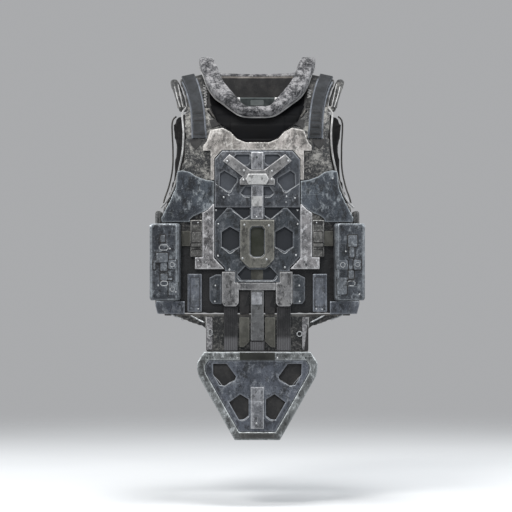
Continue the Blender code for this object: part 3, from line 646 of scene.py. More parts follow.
def join_rings(bm, rings, closed=False):
    """Faces between rings of points, and over both ends unless the last ring meets the first."""
    pairs = list(zip(rings, rings[1:]))
    if closed:
        pairs.append((rings[-1], rings[0]))
    for low, high in pairs:
        for step in range(len(low)):
            after = (step + 1) % len(low)
            bm.faces.new((low[step], low[after], high[after], high[step]))
    if not closed:
        bm.faces.new(rings[0][::-1])
        bm.faces.new(rings[-1])


def lathe(bm, profile, matrix, sides=12):
    """Turn a profile of (radius, height) rows round the matrix's z axis."""
    rings = []
    for radius, height in profile:
        ring = []
        for step in range(sides):
            angle = 2 * math.pi * step / sides
            spot = Vector((radius * math.cos(angle), radius * math.sin(angle), height))
            ring.append(bm.verts.new(matrix @ spot))
        rings.append(ring)
    join_rings(bm, rings)


def tube(bm, path, radius, sides=8, closed=False):
    """A round tube along a path of points."""
    rings = []
    count = len(path)
    for index, spot in enumerate(path):
        before = path[index - 1] if closed or index else spot
        after = path[(index + 1) % count] if closed or index + 1 < count else spot
        run = (after - before).normalized()
        helper = Vector((0, 1, 0)) if abs(run.y) < 0.9 else Vector((1, 0, 0))
        side = run.cross(helper).normalized()
        up = side.cross(run).normalized()
        ring = []
        for step in range(sides):
            angle = 2 * math.pi * step / sides
            ring.append(bm.verts.new(spot + side * radius * math.cos(angle)
                                     + up * radius * math.sin(angle)))
        rings.append(ring)
    join_rings(bm, rings, closed)


def between(first, second, third, fourth, t):
    """A place on the soft curve through four spots, between the middle two."""
    return 0.5 * (2 * second + (third - first) * t
                  + (2 * first - 5 * second + 4 * third - fourth) * t * t
                  + (3 * second - first - 3 * third + fourth) * t * t * t)


def smooth_path(spots, pitch=0.004):
    """Points at an even pitch along a soft curve through some spots."""
    dense = []
    count = len(spots)
    for index in range(count - 1):
        near = [spots[min(max(index + shift, 0), count - 1)] for shift in (-1, 0, 1, 2)]
        steps = max(2, int((near[2] - near[1]).length / pitch))
        dense += [between(*near, step / steps) for step in range(steps)]
    dense.append(spots[-1].copy())
    return dense


def done(name, bm, skin, edges=(), reach=EDGE_REACH):
    """Keep a detail piece that rides on the vest, worn along some spots."""
    made = keep(name, bm, skin)
    mark_edges(made, edges, reach)
    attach(made, "root")


# Camera, light and floor

def build_camera():
    """The photograph's view: level, square on and far away."""
    data = bpy.data.cameras.new("camera")
    data.sensor_width = 36.0
    data.lens = data.sensor_width * FAR / (VIEW_WIDTH * UNIT)
    camera = linked("camera", data)
    x, z = at(VIEW_WIDTH / 2, VIEW_WIDTH / 2)
    camera.location = (x, -FAR - FRONT_DEPTH, z)
    camera.rotation_euler = (math.radians(90), 0, 0)
    bpy.context.scene.camera = camera
    bpy.context.scene.view_settings.view_transform = "Standard"


def area_light(name, place, size, power, colour):
    """A soft square light that faces the vest."""
    data = bpy.data.lights.new(name, "AREA")
    data.shape = "SQUARE"
    data.size = size
    data.energy = power
    data.color = colour
    light = linked(name, data)
    light.location = place
    aim = Vector(AIM) - Vector(place)
    light.rotation_euler = aim.to_track_quat("-Z", "Y").to_euler()


def build_stage():
    """A pale floor that fades into the pale surroundings, and soft lights."""
    world = bpy.data.worlds.new("surroundings")
    world.use_nodes = True
    background = world.node_tree.nodes["Background"]
    background.inputs["Color"].default_value = (0.80, 0.81, 0.83, 1.0)
    background.inputs["Strength"].default_value = 0.5
    bpy.context.scene.world = world
    bm = bmesh.new()
    bmesh.ops.create_circle(bm, cap_ends=True, radius=4.0, segments=64,
                            matrix=Matrix.Translation((0, 0, FLOOR)))
    mesh = bpy.data.meshes.new("floor")
    bm.to_mesh(mesh)
    bm.free()
    floor = linked("floor", mesh)
    skin = Skin("pale_floor")
    mottle = skin.noise(3.0, 3.0, 0.5)
    skin.finish(skin.blend(mottle, (0.56, 0.57, 0.58), (0.6, 0.61, 0.62)), 0.85,
                skin.bump(skin.noise(40.0, 3.0, 0.5), 0.001, 0.2))
    reach = skin.add("VectorMath")
    reach.operation = "LENGTH"
    skin.join(skin.place, reach.inputs[0])
    clear = skin.add("BsdfTransparent")
    mix = skin.add("MixShader")
    skin.join(skin.step(reach.outputs["Value"], 1.2, 3.6), mix.inputs[0])
    skin.join(skin.shader.outputs[0], mix.inputs[1])
    skin.join(clear.outputs[0], mix.inputs[2])
    skin.join(mix.outputs[0], skin.tree.nodes["Material Output"].inputs["Surface"])
    mesh.materials.append(skin.material)
    area_light("key", (-1.2, -2.4, 2.3), 0.8, 78, (1.0, 0.985, 0.96))
    area_light("fill", (2.0, -2.6, 0.6), 1.4, 20, (0.92, 0.96, 1.0))
    area_light("top", (0.0, -0.7, 2.2), 0.8, 60, (1.0, 1.0, 1.0))
    area_light("rim_left", (-2.0, 0.7, 0.4), 0.9, 30, (0.95, 0.98, 1.0))
    area_light("rim_right", (2.0, 0.7, 0.4), 0.9, 30, (0.95, 0.98, 1.0))


# The vest

ARMHOLE = [(185.5, 105.0), (181.3, 111.0), (182.0, 122.0), (182.8, 133.0), (182.0, 150.0),
           (178.7, 167.0), (175.8, 178.7), (171.8, 190.0), (166.3, 200.0), (159.8, 207.0)]
ARMHOLE_BACK = [(173.3, 111.0), (168.8, 118.0), (169.3, 144.0), (168.8, 165.0), (165.3, 183.0),
                (161.3, 195.0), (159.8, 201.0)]
NECKLINE = [(208.5, 108.0), (212.7, 114.5), (219.3, 120.0), (229.3, 127.0)]


def both_sides(rows):
    """A run of pixels and its mirror image."""
    return rows, [(mirrored(px), py) for px, py in rows]


def inside(rows, amount):
    """A run of pixels moved towards the vest's middle."""
    return [(px + amount if px < MIDDLE_X else px - amount, py) for px, py in rows]


def laid(rows, lift=0.0, face=front):
    """A smooth path over a carrier's face."""
    return smooth_path([face(px, py, lift) for px, py in rows])


def build_soft_body():
    """Carriers, side walls, shoulders, apron and groin pad as filled cloth."""
    front_seams = [(laid(inside(rows, 4.5)), 0.006, 0.0022) for rows in both_sides(ARMHOLE)]
    back_seams = [(laid(inside(rows, 5.0), face=rear), 0.006, 0.0022)
                  for rows in both_sides(ARMHOLE_BACK)]
    for px in (215.0, 299.6):
        back_seams.append((laid([(px, 115), (px, 312)], face=rear), 0.006, 0.002))
    back_seams.append((laid([(172, 205), (215, 205), (299.6, 205), (342.6, 205)], face=rear),
                       0.006, 0.002))
    soft("carrier_front", CAMO, voxel=0.006, shrink=0.002, cap=0.003, creases=0.0008,
         seams=front_seams, stretch=(0.002, 0.004), lined=(0, 1, 0))
    soft("carrier_back", CAMO, voxel=0.006, shrink=0.002, cap=0.004, creases=0.001,
         seams=back_seams, stretch=(0.002, 0.003), lined=(0, -1, 0))
    for word, side in SIDES:
        joins = [[NODES["side_panel_" + word].matrix_world.translation + Vector(spot)
                  for spot in ((side * 0.21, -0.075, z), (side * 0.225, 0.0, z),
                               (side * 0.21, 0.075, z))] for z in (-0.335, -0.405, -0.475)]
        soft("side_panel_" + word, CAMO_DARK, voxel=0.005, shrink=0.0, cap=0.003,
             creases=0.0008, lined=(-side, 0, 0), widen=0.006, smooth=2,
             seams=[(smooth_path(join), 0.02, 0.003) for join in joins])
        soft("shoulder_pad_" + word, CAMO_DARK, voxel=0.004, shrink=0.0015, cap=0.0025,
             creases=0.0008, stretch=(0.0, 0.006))
        soft("shoulder_roll_" + word, CAMO_DARK, voxel=0.0035, shrink=0.001, cap=0.002,
             creases=0.0008, slot="dark_lining_cloth", smooth=2, stretch=(0.0, 0.004))
    soft("apron", CAMO_DARK, voxel=0.004, shrink=0.001, cap=0.0014, stretch=(0.005, 0.004))
    soft("groin_pad", LINING, voxel=0.004, shrink=0.0015, cap=0.002, slot="dark_lining_cloth",
         stretch=(0.002, 0.0))


# Each hard node's material, the rounding of its edges in metres, and its slot
HARD = {
    "throat_guard": (POLYMER, 0.0008, "dark_polymer"),
    "neck_guard_back": (LINING, 0.0015, "dark_lining_cloth"),
    "collar_bar": (BAR_PAINT, 0.002, "dark_polymer"),
    "chest_yoke": (SAND, 0.0014, "worn_sand_paint"),
    "chest_backing": (SLATE, 0.0006, "dark_polymer"),
    "chest_plate_upper": (PAINT, 0.0012, "worn_grey_paint"),
    "chest_plate_lower": (LOWER_PAINT, 0.0012, "worn_grey_paint"),
    "cross_bracket": (RAISED_PAINT, 0.0012, "worn_grey_paint"),
    "cross_bar": (BRIGHT_PAINT, 0.0012, "worn_steel"),
    "centre_frame": (OLIVE, 0.0012, "olive_grey_paint"),
    "centre_strap_upper": (STRAP_PAINT, 0.001, "worn_steel"),
    "centre_strap_lower": (STRAP_PAINT, 0.001, "worn_steel"),
    "belly_band": (RAISED_PAINT, 0.0012, "worn_grey_paint"),
    "belly_strap": (DULL_STRAP, 0.001, "worn_grey_paint"),
    "groin_rim": (RIM_PAINT, 0.0022, "worn_sand_paint"),
    "groin_plate": (SKIRT_PAINT, 0.0012, "worn_grey_paint"),
    "groin_strap": (STRAP_PAINT, 0.0008, "worn_steel"),
    "groin_insert": (INSERT, 0.0008, "dark_polymer"),
    "groin_bar": (DARK_BAR, 0.0008, "worn_steel"),
    "webbing_centre": (RIB_CLOTH, 0.0006, "blue_grey_webbing"),
}
HARD_PAIRS = {
    "collar_clip": (CLIP_PAINT, 0.0014, "worn_steel"),
    "chest_rail": (RAIL_PAINT, 0.0016, "worn_sand_paint"),
    "side_chest_plate": (BLUE_PAINT, 0.0014, "worn_grey_paint"),
    "buckle_plate": (BUCKLE_PAINT, 0.0012, "worn_grey_paint"),
    "waist_strap": (OLIVE_CLOTH, 0.0006, "blue_grey_webbing"),
    "side_box": (BOX_PAINT, 0.0016, "worn_steel"),
    "skirt_side_plate": (SKIRT_PAINT, 0.0012, "worn_grey_paint"),
    "skirt_front_plate": (SKIRT_PAINT, 0.0012, "dark_polymer"),
    "belly_side_plate": (LOWER_PAINT, 0.0012, "dark_polymer"),
    "belly_leg": (RAISED_PAINT, 0.0014, "worn_grey_paint"),
    "webbing": (RIB_CLOTH, 0.0006, "blue_grey_webbing"),
    "apron_panel": (OLIVE_CLOTH, 0.0006, "olive_grey_paint"),
    "shoulder_strap": (STRAP_CLOTH, 0.0008, "blue_grey_webbing"),
}


def build_hard_parts():
    """Plates, frames, boxes and straps with rounded, worn edges."""
    for node, (skin, round_off, slot) in HARD.items():
        dress(node, skin, round_off, relax=40 if node == "throat_guard" else 0)
    for stem, (skin, round_off, slot) in HARD_PAIRS.items():
        for word, _ in SIDES:
            dress(f"{stem}_{word}", skin, round_off)


def dome(radius):
    """Profile of a rivet head."""
    return [(radius, -0.0006), (radius, radius * 0.12), (radius * 0.86, radius * 0.38),
            (radius * 0.55, radius * 0.58), (radius * 0.2, radius * 0.66)]


def socket_head(radius):
    """Profile of a sunk screw with a raised rim."""
    return [(radius, -0.0004), (radius, 0.0005), (radius * 0.8, 0.0008), (radius * 0.66, 0.0008),
            (radius * 0.6, 0.0001), (radius * 0.1, 0.0001)]


def build_heads(name, rows, profile, skin):
    """Rivets or screws that stand on whatever lies under them."""
    bm = bmesh.new()
    for px, py, radius in rows:
        found = hit(px, py)
        if found:
            lathe(bm, profile(radius / 1000), placed(*found))
    done(name, bm, skin)


def patch(bm, outline, thick, names=(), chamfer=0.35):
    """A raised block over an outline given in pixels, laid on what lies under it."""
    count = len(outline)
    middle_x = sum(px for px, _ in outline) / count
    middle_y = sum(py for _, py in outline) / count
    size = min(math.hypot(px - middle_x, py - middle_y) for px, py in outline)
    rings = []
    for height, inset in ((-0.001, 0.0), (thick - chamfer * UNIT, 0.0), (thick, chamfer)):
        ring = []
        for px, py in outline:
            share = 1 - inset / size
            place = (middle_x + (px - middle_x) * share, middle_y + (py - middle_y) * share)
            found = hit(*place, *names)
            spot, normal = found if found else (front(*place), Vector((0, -1, 0)))
            ring.append(bm.verts.new(spot + normal * height))
        rings.append(ring)
    join_rings(bm, rings)


def cut_corners(x0, y0, x1, y1, corner=0.8):
    """A rectangle with its corners cut off."""
    corner = min(corner, 0.3 * (x1 - x0), 0.3 * (y1 - y0))
    return [(x0 + corner, y0), (x1 - corner, y0), (x1, y0 + corner), (x1, y1 - corner),
            (x1 - corner, y1), (x0 + corner, y1), (x0, y1 - corner), (x0, y0 + corner)]


def build_blocks(name, rows, skin, names=(), shadow_rim=0.0):
    """Raised blocks: left, top, right and bottom pixel, and thickness in millimetres."""
    bm = bmesh.new()
    shadow_sheet = bmesh.new()
    spots = []
    for x0, y0, x1, y1, thick in rows:
        outline = cut_corners(x0, y0, x1, y1)
        patch(bm, outline, thick / 1000, names)
        # The wider dark lining sheet under each block is a painted shadow round its foot.
        if shadow_rim:
            patch(shadow_sheet, cut_corners(x0 - shadow_rim, y0 - shadow_rim, x1 + shadow_rim, y1 + shadow_rim), 0.0005,
                  names, chamfer=0.1)
        for (px, py), (to_x, to_y) in zip(outline, outline[1:] + outline[:1]):
            for step in range(8):
                found = hit(px + (to_x - px) * step / 8, py + (to_y - py) * step / 8, *names)
                if found:
                    spots.append(found[0] + found[1] * (thick / 1000))
    done(name, bm, skin, spots, 0.0022)
    if shadow_rim:
        done(name + "_painted_shadows", shadow_sheet, LINING)
    else:
        shadow_sheet.free()


def build_loops(name, rows, radius, skin, names=(), lift=0.0004):
    """Small closed rings of rod round a rectangle of pixels."""
    bm = bmesh.new()
    for x0, y0, x1, y1 in rows:
        corners = [hit(px, py, *names) for px, py in cut_corners(x0, y0, x1, y1, 1.6)]
        tube(bm, [spot + normal * lift for spot, normal in corners], radius, 6, closed=True)
    done(name, bm, skin)


def build_tubes(name, paths, radius, skin, closed=False, sides=8):
    """Piping, edges or lacing along some paths."""
    bm = bmesh.new()
    for path in paths:
        if len(path) > 2:
            tube(bm, path, radius, sides, closed)
    done(name, bm, skin)


def lay_tubes(name, runs, names, lift, radius, skin, pitch=2.0, sides=8):
    """Tubes on the drawn surface under some runs of pixels."""
    paths = [found_path(finer(rows, pitch), names, lift) for rows in runs]
    build_tubes(name, paths, radius, skin, sides=sides)


def every_side(runs):
    """Each run of pixels followed by its mirror image."""
    return [rows for run in runs for rows in both_sides(run)]


def build_stitches(paths, length=0.0032, gap=0.0022):
    """Rows of short threads along some paths."""
    bm = bmesh.new()
    for path in paths:
        walked = 0.0
        for start, end in zip(path, path[1:]):
            run = end - start
            size = run.length
            place = -walked % (length + gap)
            while place + length < size:
                low, high = start + run * (place / size), start + run * ((place + length) / size)
                tube(bm, [low, (low + high) / 2, high], 0.00045, 5)
                place += length + gap
            walked = (walked + size) % (length + gap)
    done("stitches", bm, THREAD)


def found_path(rows, names, lift, start=front):
    """A path that lies on the drawn surface under some pixels."""
    runs = [[]]
    for px, py in rows:
        found = hit(px, py, *names, back=start is rear)
        if found:
            spot = found[0] + found[1] * lift
            if runs[-1] and (spot - runs[-1][-1]).length > LEAP:
                runs.append([])
            runs[-1].append(spot)
    return max(runs, key=len)


def finer(rows, pitch=2.0):
    """Pixels at an even pitch along a run of pixels."""
    path = smooth_path([Vector((px, py, 0.0)) for px, py in rows], pitch)
    return [(spot.x, spot.y) for spot in path]


# Places in pixels of the photograph. Heads have a radius and blocks a thickness in millimetres
RIVETS_DARK = [
    (224.3, 303.8, 1.6), (236.0, 303.8, 1.6), (290.3, 303.8, 1.6), (278.6, 303.8, 1.6),
    (208.6, 264.5, 1.9), (306.0, 264.5, 1.9), (189.8, 309.6, 2.0), (324.8, 309.6, 2.0),
    (207.2, 357.9, 2.0), (305.8, 357.9, 2.0), (173.7, 226.8, 1.7), (153.6, 228.3, 1.7),
    (153.8, 296.0, 1.5), (341.0, 226.8, 1.7), (361.8, 228.3, 1.7), (339.0, 296.5, 1.5),
    (256.8, 157.5, 2.6),
]
RIVETS = [
    (223.7, 197.3, 2.3), (228.7, 195.4, 1.8), (286.5, 196.6, 2.2), (286.1, 202.3, 1.7),
    (294.9, 198.1, 2.2), (227.2, 161.4, 2.8), (244.0, 170.6, 2.6), (243.6, 180.1, 2.6),
    (288.0, 161.0, 2.8), (271.9, 171.3, 2.6), (271.6, 179.7, 2.6), (244.4, 224.8, 2.3),
    (268.9, 225.6, 2.3), (242.5, 258.1, 2.5), (266.6, 259.3, 2.4), (216.0, 210.3, 2.2),
    (297.6, 210.3, 2.2), (218.4, 224.0, 2.2), (297.6, 224.0, 2.2), (256.6, 217.2, 2.5),
    (218.0, 255.8, 2.2), (296.0, 255.4, 2.2), (229.5, 269.6, 2.5), (284.9, 267.3, 2.3),
    (215.3, 285.6, 2.0), (299.3, 285.6, 2.0), (214.9, 301.4, 2.0), (299.7, 301.4, 2.0),
    (198.0, 309.0, 2.0), (316.6, 309.0, 2.0), (333.0, 178.0, 2.2), (256.5, 423.4, 2.2),
    (197.9, 222.6, 2.0), (316.7, 222.6, 2.0), (197.9, 260.6, 2.0), (316.7, 260.6, 2.0),
    (277.5, 357.9, 2.0), (237.2, 357.9, 2.0), (322.4, 309.6, 2.0), (169.9, 248.7, 1.9),
    (158.0, 285.5, 1.7), (172.4, 264.6, 1.9), (175.8, 292.0, 1.6), (173.4, 286.0, 1.4),
    (346.0, 251.4, 1.9), (359.7, 294.3, 2.0), (342.6, 265.0, 1.9), (357.6, 264.6, 1.9),
    (344.0, 284.0, 1.4), (340.8, 290.5, 1.5),
]
BOX_BLOCKS = [
    (160.3, 235.3, 165.3, 242.2, 1.8), (156.5, 252.9, 168.0, 262.6, 2.6),
    (160.3, 262.9, 167.2, 271.0, 1.8), (168.4, 260.2, 176.4, 269.0, 2.2),
    (168.7, 282.8, 178.0, 295.0, 2.6), (160.3, 273.5, 167.6, 280.5, 1.0),
    (168.0, 277.8, 172.6, 280.0, 1.8), (153.2, 260.4, 158.0, 262.4, 1.8),
    (153.2, 262.8, 155.4, 269.6, 1.6), (348.2, 235.3, 357.4, 246.8, 1.8),
    (349.5, 247.2, 354.5, 257.5, 1.6), (336.9, 260.2, 348.0, 269.6, 2.2),
    (353.6, 259.8, 361.2, 269.6, 2.2), (337.3, 280.2, 346.8, 294.5, 2.6),
    (337.2, 277.6, 348.4, 279.8, 1.8), (348.6, 270.4, 354.0, 279.0, 1.0),
]
BOX_RINGS = [(170.4, 262.4, 174.4, 266.8), (340.4, 262.6, 344.8, 267.2),
             (355.4, 262.4, 359.6, 266.8), (170.8, 287.0, 174.6, 291.4)]
SHOULDER_BLOCKS = [
    (192.6, 109.6, 202.2, 111.8, 1.2), (193.4, 117.2, 203.0, 119.4, 1.2),
    (193.8, 131.0, 204.4, 133.4, 1.2), (312.6, 109.6, 322.0, 111.8, 1.2),
    (311.8, 117.2, 321.2, 119.4, 1.2), (311.4, 124.0, 320.8, 126.2, 1.2),
    (310.6, 131.0, 320.6, 133.4, 1.2),
]
STRAP_EDGES = [[(180.6, 78.0), (184.2, 86.0), (187.4, 96.0), (190.0, 107.0), (191.4, 120.0),
                (192.2, 138.0)],
               [(194.8, 74.8), (198.2, 84.0), (201.2, 96.0), (203.2, 107.0), (204.6, 120.0),
                (205.8, 138.0)]]
# Lower edges of the cut-outs, where pale tubes paint the highlight of the light from above
LIT_LOWER_EDGES = [
    [(215.1, 183.8), (222.3, 188.5), (229.5, 193.1), (233.6, 187.2), (237.6, 180.8)],
    [(241.2, 194.0), (244.2, 197.2), (249.6, 197.6)],
    [(232.4, 210.9), (238.3, 215.2), (244.2, 219.3), (249.4, 216.2)],
    [(220.9, 246.9), (225.5, 250.2), (230.2, 253.5), (235.1, 250.3), (240.0, 247.1)],
    [(213.4, 257.1), (217.4, 260.8), (221.4, 264.5)],
    [(213.4, 375.5), (218.5, 381.0), (223.6, 386.4), (229.8, 382.8), (236.1, 379.2)],
    [(239.8, 420.5), (244.2, 420.7), (249.2, 416.6)],
]
MIDDLE_LIT_EDGES = [
    [(249.3, 254.2), (253.7, 257.3), (260.3, 257.3), (264.4, 254.2)],
    [(237.2, 276.6), (240.8, 280.9), (257.0, 281.0), (273.4, 280.9), (277.4, 276.2)],
]
BOX_LOOPS = [(159.2, 244.9, 168.0, 250.2), (160.7, 281.2, 167.6, 285.8),
             (350.3, 237.5, 355.5, 243.5), (347.5, 281.2, 355.0, 285.8)]
WAIST_BLOCKS = [(191.8, 232.0, 201.0, 242.4, 1.6), (191.2, 243.4, 201.4, 246.6, 2.8),
                (192.4, 221.6, 200.6, 223.6, 0.1), (193.0, 234.6, 195.0, 240.0, 2.6),
                (197.6, 234.6, 199.6, 240.0, 2.6), (191.8, 250.0, 201.0, 256.5, 1.4)]


def with_mirror(rows):
    """Block rows and their mirror images."""
    return rows + [(mirrored(x1), y0, mirrored(x0), y1, thick) for x0, y0, x1, y1, thick in rows]


WING_TUBES = [[(171.0, 314.6), (175.2, 316.8), (190.0, 322.4), (204.0, 327.6)],
              [(186.0, 313.9), (190.0, 315.4), (197.5, 319.4), (204.3, 322.7)]]
APRON_EDGE = [(206.2, 317.0), (206.2, 328.0), (206.2, 339.0), (206.2, 350.0)]
HOOKS = [(208.6, 329.6, 212.4, 336.0), (297.0, 331.6, 301.6, 336.4)]


def build_fittings():
    """Rivets, screws and the raised blocks of boxes and buckles."""
    boxes = ("side_box_left", "side_box_right")
    build_blocks("box_relief", BOX_BLOCKS, LIT_RELIEF_PAINT, boxes, shadow_rim=1.0)
    build_loops("box_slots", BOX_LOOPS, 0.0011, LIP, boxes)
    build_loops("box_rings", BOX_RINGS, 0.0008, LIP, boxes, lift=0.0034)
    build_blocks("buckles", with_mirror(WAIST_BLOCKS), BUCKLE_PAINT,
                 shadow_rim=0.8)
    build_blocks("strap_cap", [(251.4, 292.4, 262.2, 304.6, 1.4)], STRAP_PAINT,
                 ("belly_strap",))
    straps = ("shoulder_strap_left", "shoulder_strap_right")
    build_blocks("strap_ridges", SHOULDER_BLOCKS, STRAP_CLOTH, straps,
                 shadow_rim=0.7)
    build_blocks("bar_middle", [(250.4, 98.8, 263.8, 104.4, 1.2)], BAR_LIGHT,
                 ("collar_bar",))
    build_blocks("strap_plate", [(251.6, 196.2, 262.4, 206.6, 0.9)], BRIGHT_PAINT,
                 ("centre_strap_lower", "centre_strap_upper"))
    tips = bmesh.new()
    for outline in both_sides([(189.4, 138.4), (202.4, 138.4), (200.8, 144.0), (195.2, 149.4),
                               (191.0, 144.6)]):
        patch(tips, outline, 0.0018, ("carrier_front",))
    for outline in both_sides([(208.8, 119.4), (217.2, 117.4), (220.6, 123.4), (211.4, 128.4)]):
        patch(tips, outline, 0.0014, ("carrier_front", "shoulder_pad_left",
                                      "shoulder_pad_right"))
    done("strap_tips", tips, LINING)
    under = straps + ("shoulder_pad_left", "shoulder_pad_right", "carrier_front")
    lay_tubes("strap_edges", every_side(STRAP_EDGES), under, 0.0006, 0.0019, STRAP_EDGE)
    build_blocks("window_strap", [(250.9, 269.6, 263.2, 280.4, 0.3)], OLIVE_CLOTH,
                 ("chest_backing",))
    build_blocks("skirt_insets", with_mirror([(190.6, 277.5, 199.4, 307.0, 0.8)]), SKIRT_PAINT,
                 shadow_rim=0.35)
    # Pale tubes along the lower edges of the cut-outs: painted highlight where they face the light
    # from above.
    lay_tubes("lower_edge_highlights", every_side(LIT_LOWER_EDGES) + MIDDLE_LIT_EDGES, (), 0.0, 0.0008, LIP,
              pitch=1.2, sides=6)
    build_blocks("slot_insert", [(249.9, 226.6, 264.9, 258.0, 2.4)], OLIVE_DARK,
                 ("chest_backing",))
    # Dark lining patches beside the belly strap above the hem: painted shade of the recesses there.
    build_blocks("hem_shade_patches", with_mirror([(239.7, 291.0, 249.6, 314.4, 1.0)]), LINING,
                 ("carrier_front",))
    lay_tubes("wing_edges", every_side(WING_TUBES), (), 0.0006, 0.0018, LIP)
    build_blocks("apron_borders", with_mirror([(206.6, 317.0, 212.4, 350.0, 0.8)]), COLLAR_CLOTH,
                 ("apron",), shadow_rim=0.5)
    lay_tubes("apron_edges", both_sides(APRON_EDGE), ("apron",), 0.0, 0.0014, PIPING)
    build_loops("hooks", HOOKS, 0.0012, STEEL, ("apron",), lift=0.0022)
    build_heads("rivets", RIVETS, dome, STEEL)
    build_heads("screws", RIVETS_DARK, socket_head, BAR_PAINT)


# The collar from the front to the back of the neck: its middle's x, y and z, its height and its
# depth, as shares of half the width or of a carrier's depth
COLLAR = [
    (0.000, -0.8557, -0.350, 0.043, 0.0718), (0.140, -0.8436, -0.341, 0.043, 0.0718),
    (0.232, -0.7829, -0.272, 0.054, 0.0819), (0.300, -0.6949, -0.205, 0.064, 0.0894),
    (0.374, -0.5735, -0.130, 0.079, 0.0915), (0.438, -0.3975, -0.027, 0.081, 0.0890),
    (0.476, -0.2428, 0.079, 0.080, 0.0903), (0.516, -0.0910, 0.166, 0.078, 0.0903),
    (0.524, 0.0792, 0.188, 0.067, 0.0800), (0.490, 0.3168, 0.124, 0.044, 0.0601),
    (0.390, 0.5544, 0.084, 0.025, 0.0341), (0.205, 0.6899, 0.082, 0.020, 0.0273),
    (0.000, 0.7181, 0.082, 0.020, 0.0273),
]
# Points round the collar's section, and the power that squares it
COLLAR_SIDES = 28
COLLAR_SQUARE = 0.4
# The neck guard's rim from its end to the middle: x and y, and its height, as shares likewise
NECK_WALL = [(0.380, 0.5667), (0.300, 0.6266), (0.200, 0.6653), (0.000, 0.6864)]
NECK_WALL_TOP = 0.0570


def collar_spine(pitch=0.0035):
    """Centre, across and outward spans of the collar's section, round the whole neck."""
    full = COLLAR + [(-x, y, z, tall, deep) for x, y, z, tall, deep in COLLAR[-2:0:-1]]
    centres = [Vector((x * HALF_WIDTH, y * (FRONT_DEPTH if y < 0 else BACK_DEPTH),
                       z * HALF_WIDTH)) for x, y, z, _, _ in full]
    sizes = [Vector((tall * HALF_WIDTH, deep * FRONT_DEPTH)) for _, _, _, tall, deep in full]
    rows = []
    count = len(full)
    for index in range(count):
        near = [(index + shift) % count for shift in (-1, 0, 1, 2)]
        steps = max(2, int((centres[near[2]] - centres[index]).length / pitch))
        rows += [(between(*(centres[place] for place in near), step / steps),
                  between(*(sizes[place] for place in near), step / steps))
                 for step in range(steps)]
    spine = []
    for index, (centre, size) in enumerate(rows):
        run = (rows[(index + 1) % len(rows)][0] - rows[index - 1][0]).normalized()
        across = Vector((0.0, -1.0, 1.0)).cross(run).normalized()
        outward = across.cross(run).normalized()
        spine.append((centre, across * size[0], outward * size[1]))
    return spine


def collar_line(spine, across_share, outward_share):
    """A line round the collar at one place of its section."""
    return [centre + across * across_share + outward * outward_share
            for centre, across, outward in spine]


def build_collar():
    """The squared padded band round the neck, with piping along its front corners."""
    spine = collar_spine()
    bm = bmesh.new()
    lines = []
    for step in range(COLLAR_SIDES):
        angle = 2 * math.pi * step / COLLAR_SIDES
        shares = [math.copysign(abs(value) ** COLLAR_SQUARE, value)
                  for value in (math.cos(angle), math.sin(angle))]
        lines.append([bm.verts.new(spot) for spot in collar_line(spine, *shares)])
    for step, line in enumerate(lines):
        after = lines[(step + 1) % COLLAR_SIDES]
        for index in range(len(line)):
            ahead = (index + 1) % len(line)
            bm.faces.new((line[index], line[ahead], after[ahead], after[index]))
    corners = [spot for side in (0.95, -0.95) for spot in collar_line(spine, side, 0.85)]
    made = keep("collar_ring_filled", bm, COLLAR_CLOTH)
    fill_out(made, "collar_ring", corners, 0.0008, creases=0.0004, fill=0.8, reach=0.0045)
    build_tubes("collar_piping", [collar_line(spine, side, 0.93) for side in (0.9, -0.9)],
                0.0017, PIPING, closed=True)


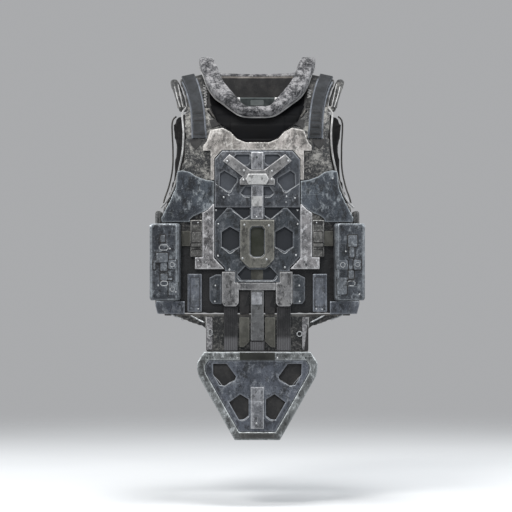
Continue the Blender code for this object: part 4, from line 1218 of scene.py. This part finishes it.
def build_trim():
    """Piping, bindings, lacing and stitches on the soft parts."""
    build_tubes("armhole_piping", [laid(rows, -0.0045) for rows in both_sides(ARMHOLE)], 0.0021,
                PIPING)
    # The back armholes' piping takes the darker piping: painted shade inside the armholes.
    build_tubes("back_piping", [laid(rows, -0.004, rear) for rows in both_sides(ARMHOLE_BACK)],
                0.0019, DIM_PIPING)
    build_tubes("neckline_piping", [laid(rows, -0.002) for rows in both_sides(NECKLINE)], 0.0018,
                DIM_PIPING)
    rolls = ("shoulder_roll_left", "shoulder_roll_right")
    ridges = [[(172.8, 83.0), (176.2, 96.0), (180.2, 108.0)], [(176.0, 80.5), (179.2, 94.0),
              (182.4, 108.0)], [(178.9, 81.0), (181.6, 93.0), (184.4, 105.0)]]
    lay_tubes("roll_ridges", every_side(ridges), rolls, 0.0004, 0.0012, PIPING)
    lacing = [(202.2 + 0.12 * step + 3.4 * (step % 2), 82.0 + 1.5 * step) for step in range(16)]
    pads = ("shoulder_pad_left", "shoulder_pad_right", "carrier_front")
    lay_tubes("lacing", both_sides(lacing), pads, 0.0005, 0.0011, PIPING, pitch=0.8)
    binding = [(206.5, 82.0), (207.0, 92.0), (208.5, 101.0), (211.0, 108.0), (215.0, 115.0)]
    build_tubes("neck_binding", [laid(rows, -0.009) for rows in both_sides(binding)], 0.0052,
                LINING)
    bridge = [(180.5, 105.5), (187.0, 106.5), (194.0, 107.5), (203.0, 108.5), (210.0, 109.0)]
    build_tubes("shoulder_binding", [laid(rows, -0.009) for rows in both_sides(bridge)], 0.0055,
                CAMO)
    # A dark tube along the hem: a painted shadow line under the carrier's edge.
    hem = [(164, 315.2), (200, 315.2), (257.3, 315.2), (314.6, 315.2), (350.6, 315.2)]
    build_tubes("hem_shadow_line", [laid(hem, -0.001)], 0.0022, DIM_PIPING)
    rim = [Vector((x * HALF_WIDTH, y * BACK_DEPTH - 0.003, NECK_WALL_TOP * HALF_WIDTH))
           for x, y in NECK_WALL]
    rim += [Vector((-spot.x, spot.y, spot.z)) for spot in reversed(rim[:-1])]
    build_tubes("neck_rim", [smooth_path(rim)], 0.0036, NECK_RIM)
    front_rows = [inside(rows, shift) for rows in both_sides(ARMHOLE) for shift in (3.4, 5.6)]
    back_rows = [inside(rows, shift) for rows in both_sides(ARMHOLE_BACK) for shift in (3.9, 6.1)]
    back_rows += [[(px, 116), (px, 310)] for px in (213.6, 216.4, 298.2, 301.0)]
    build_stitches([found_path(finer(rows), ("carrier_front",), 0.0002) for rows in front_rows]
                   + [found_path(finer(rows), ("carrier_back",), 0.0002, rear)
                      for rows in back_rows])


build_camera()
build_stage()
build_soft_body()
build_hard_parts()
build_collar()
build_fittings()
build_trim()
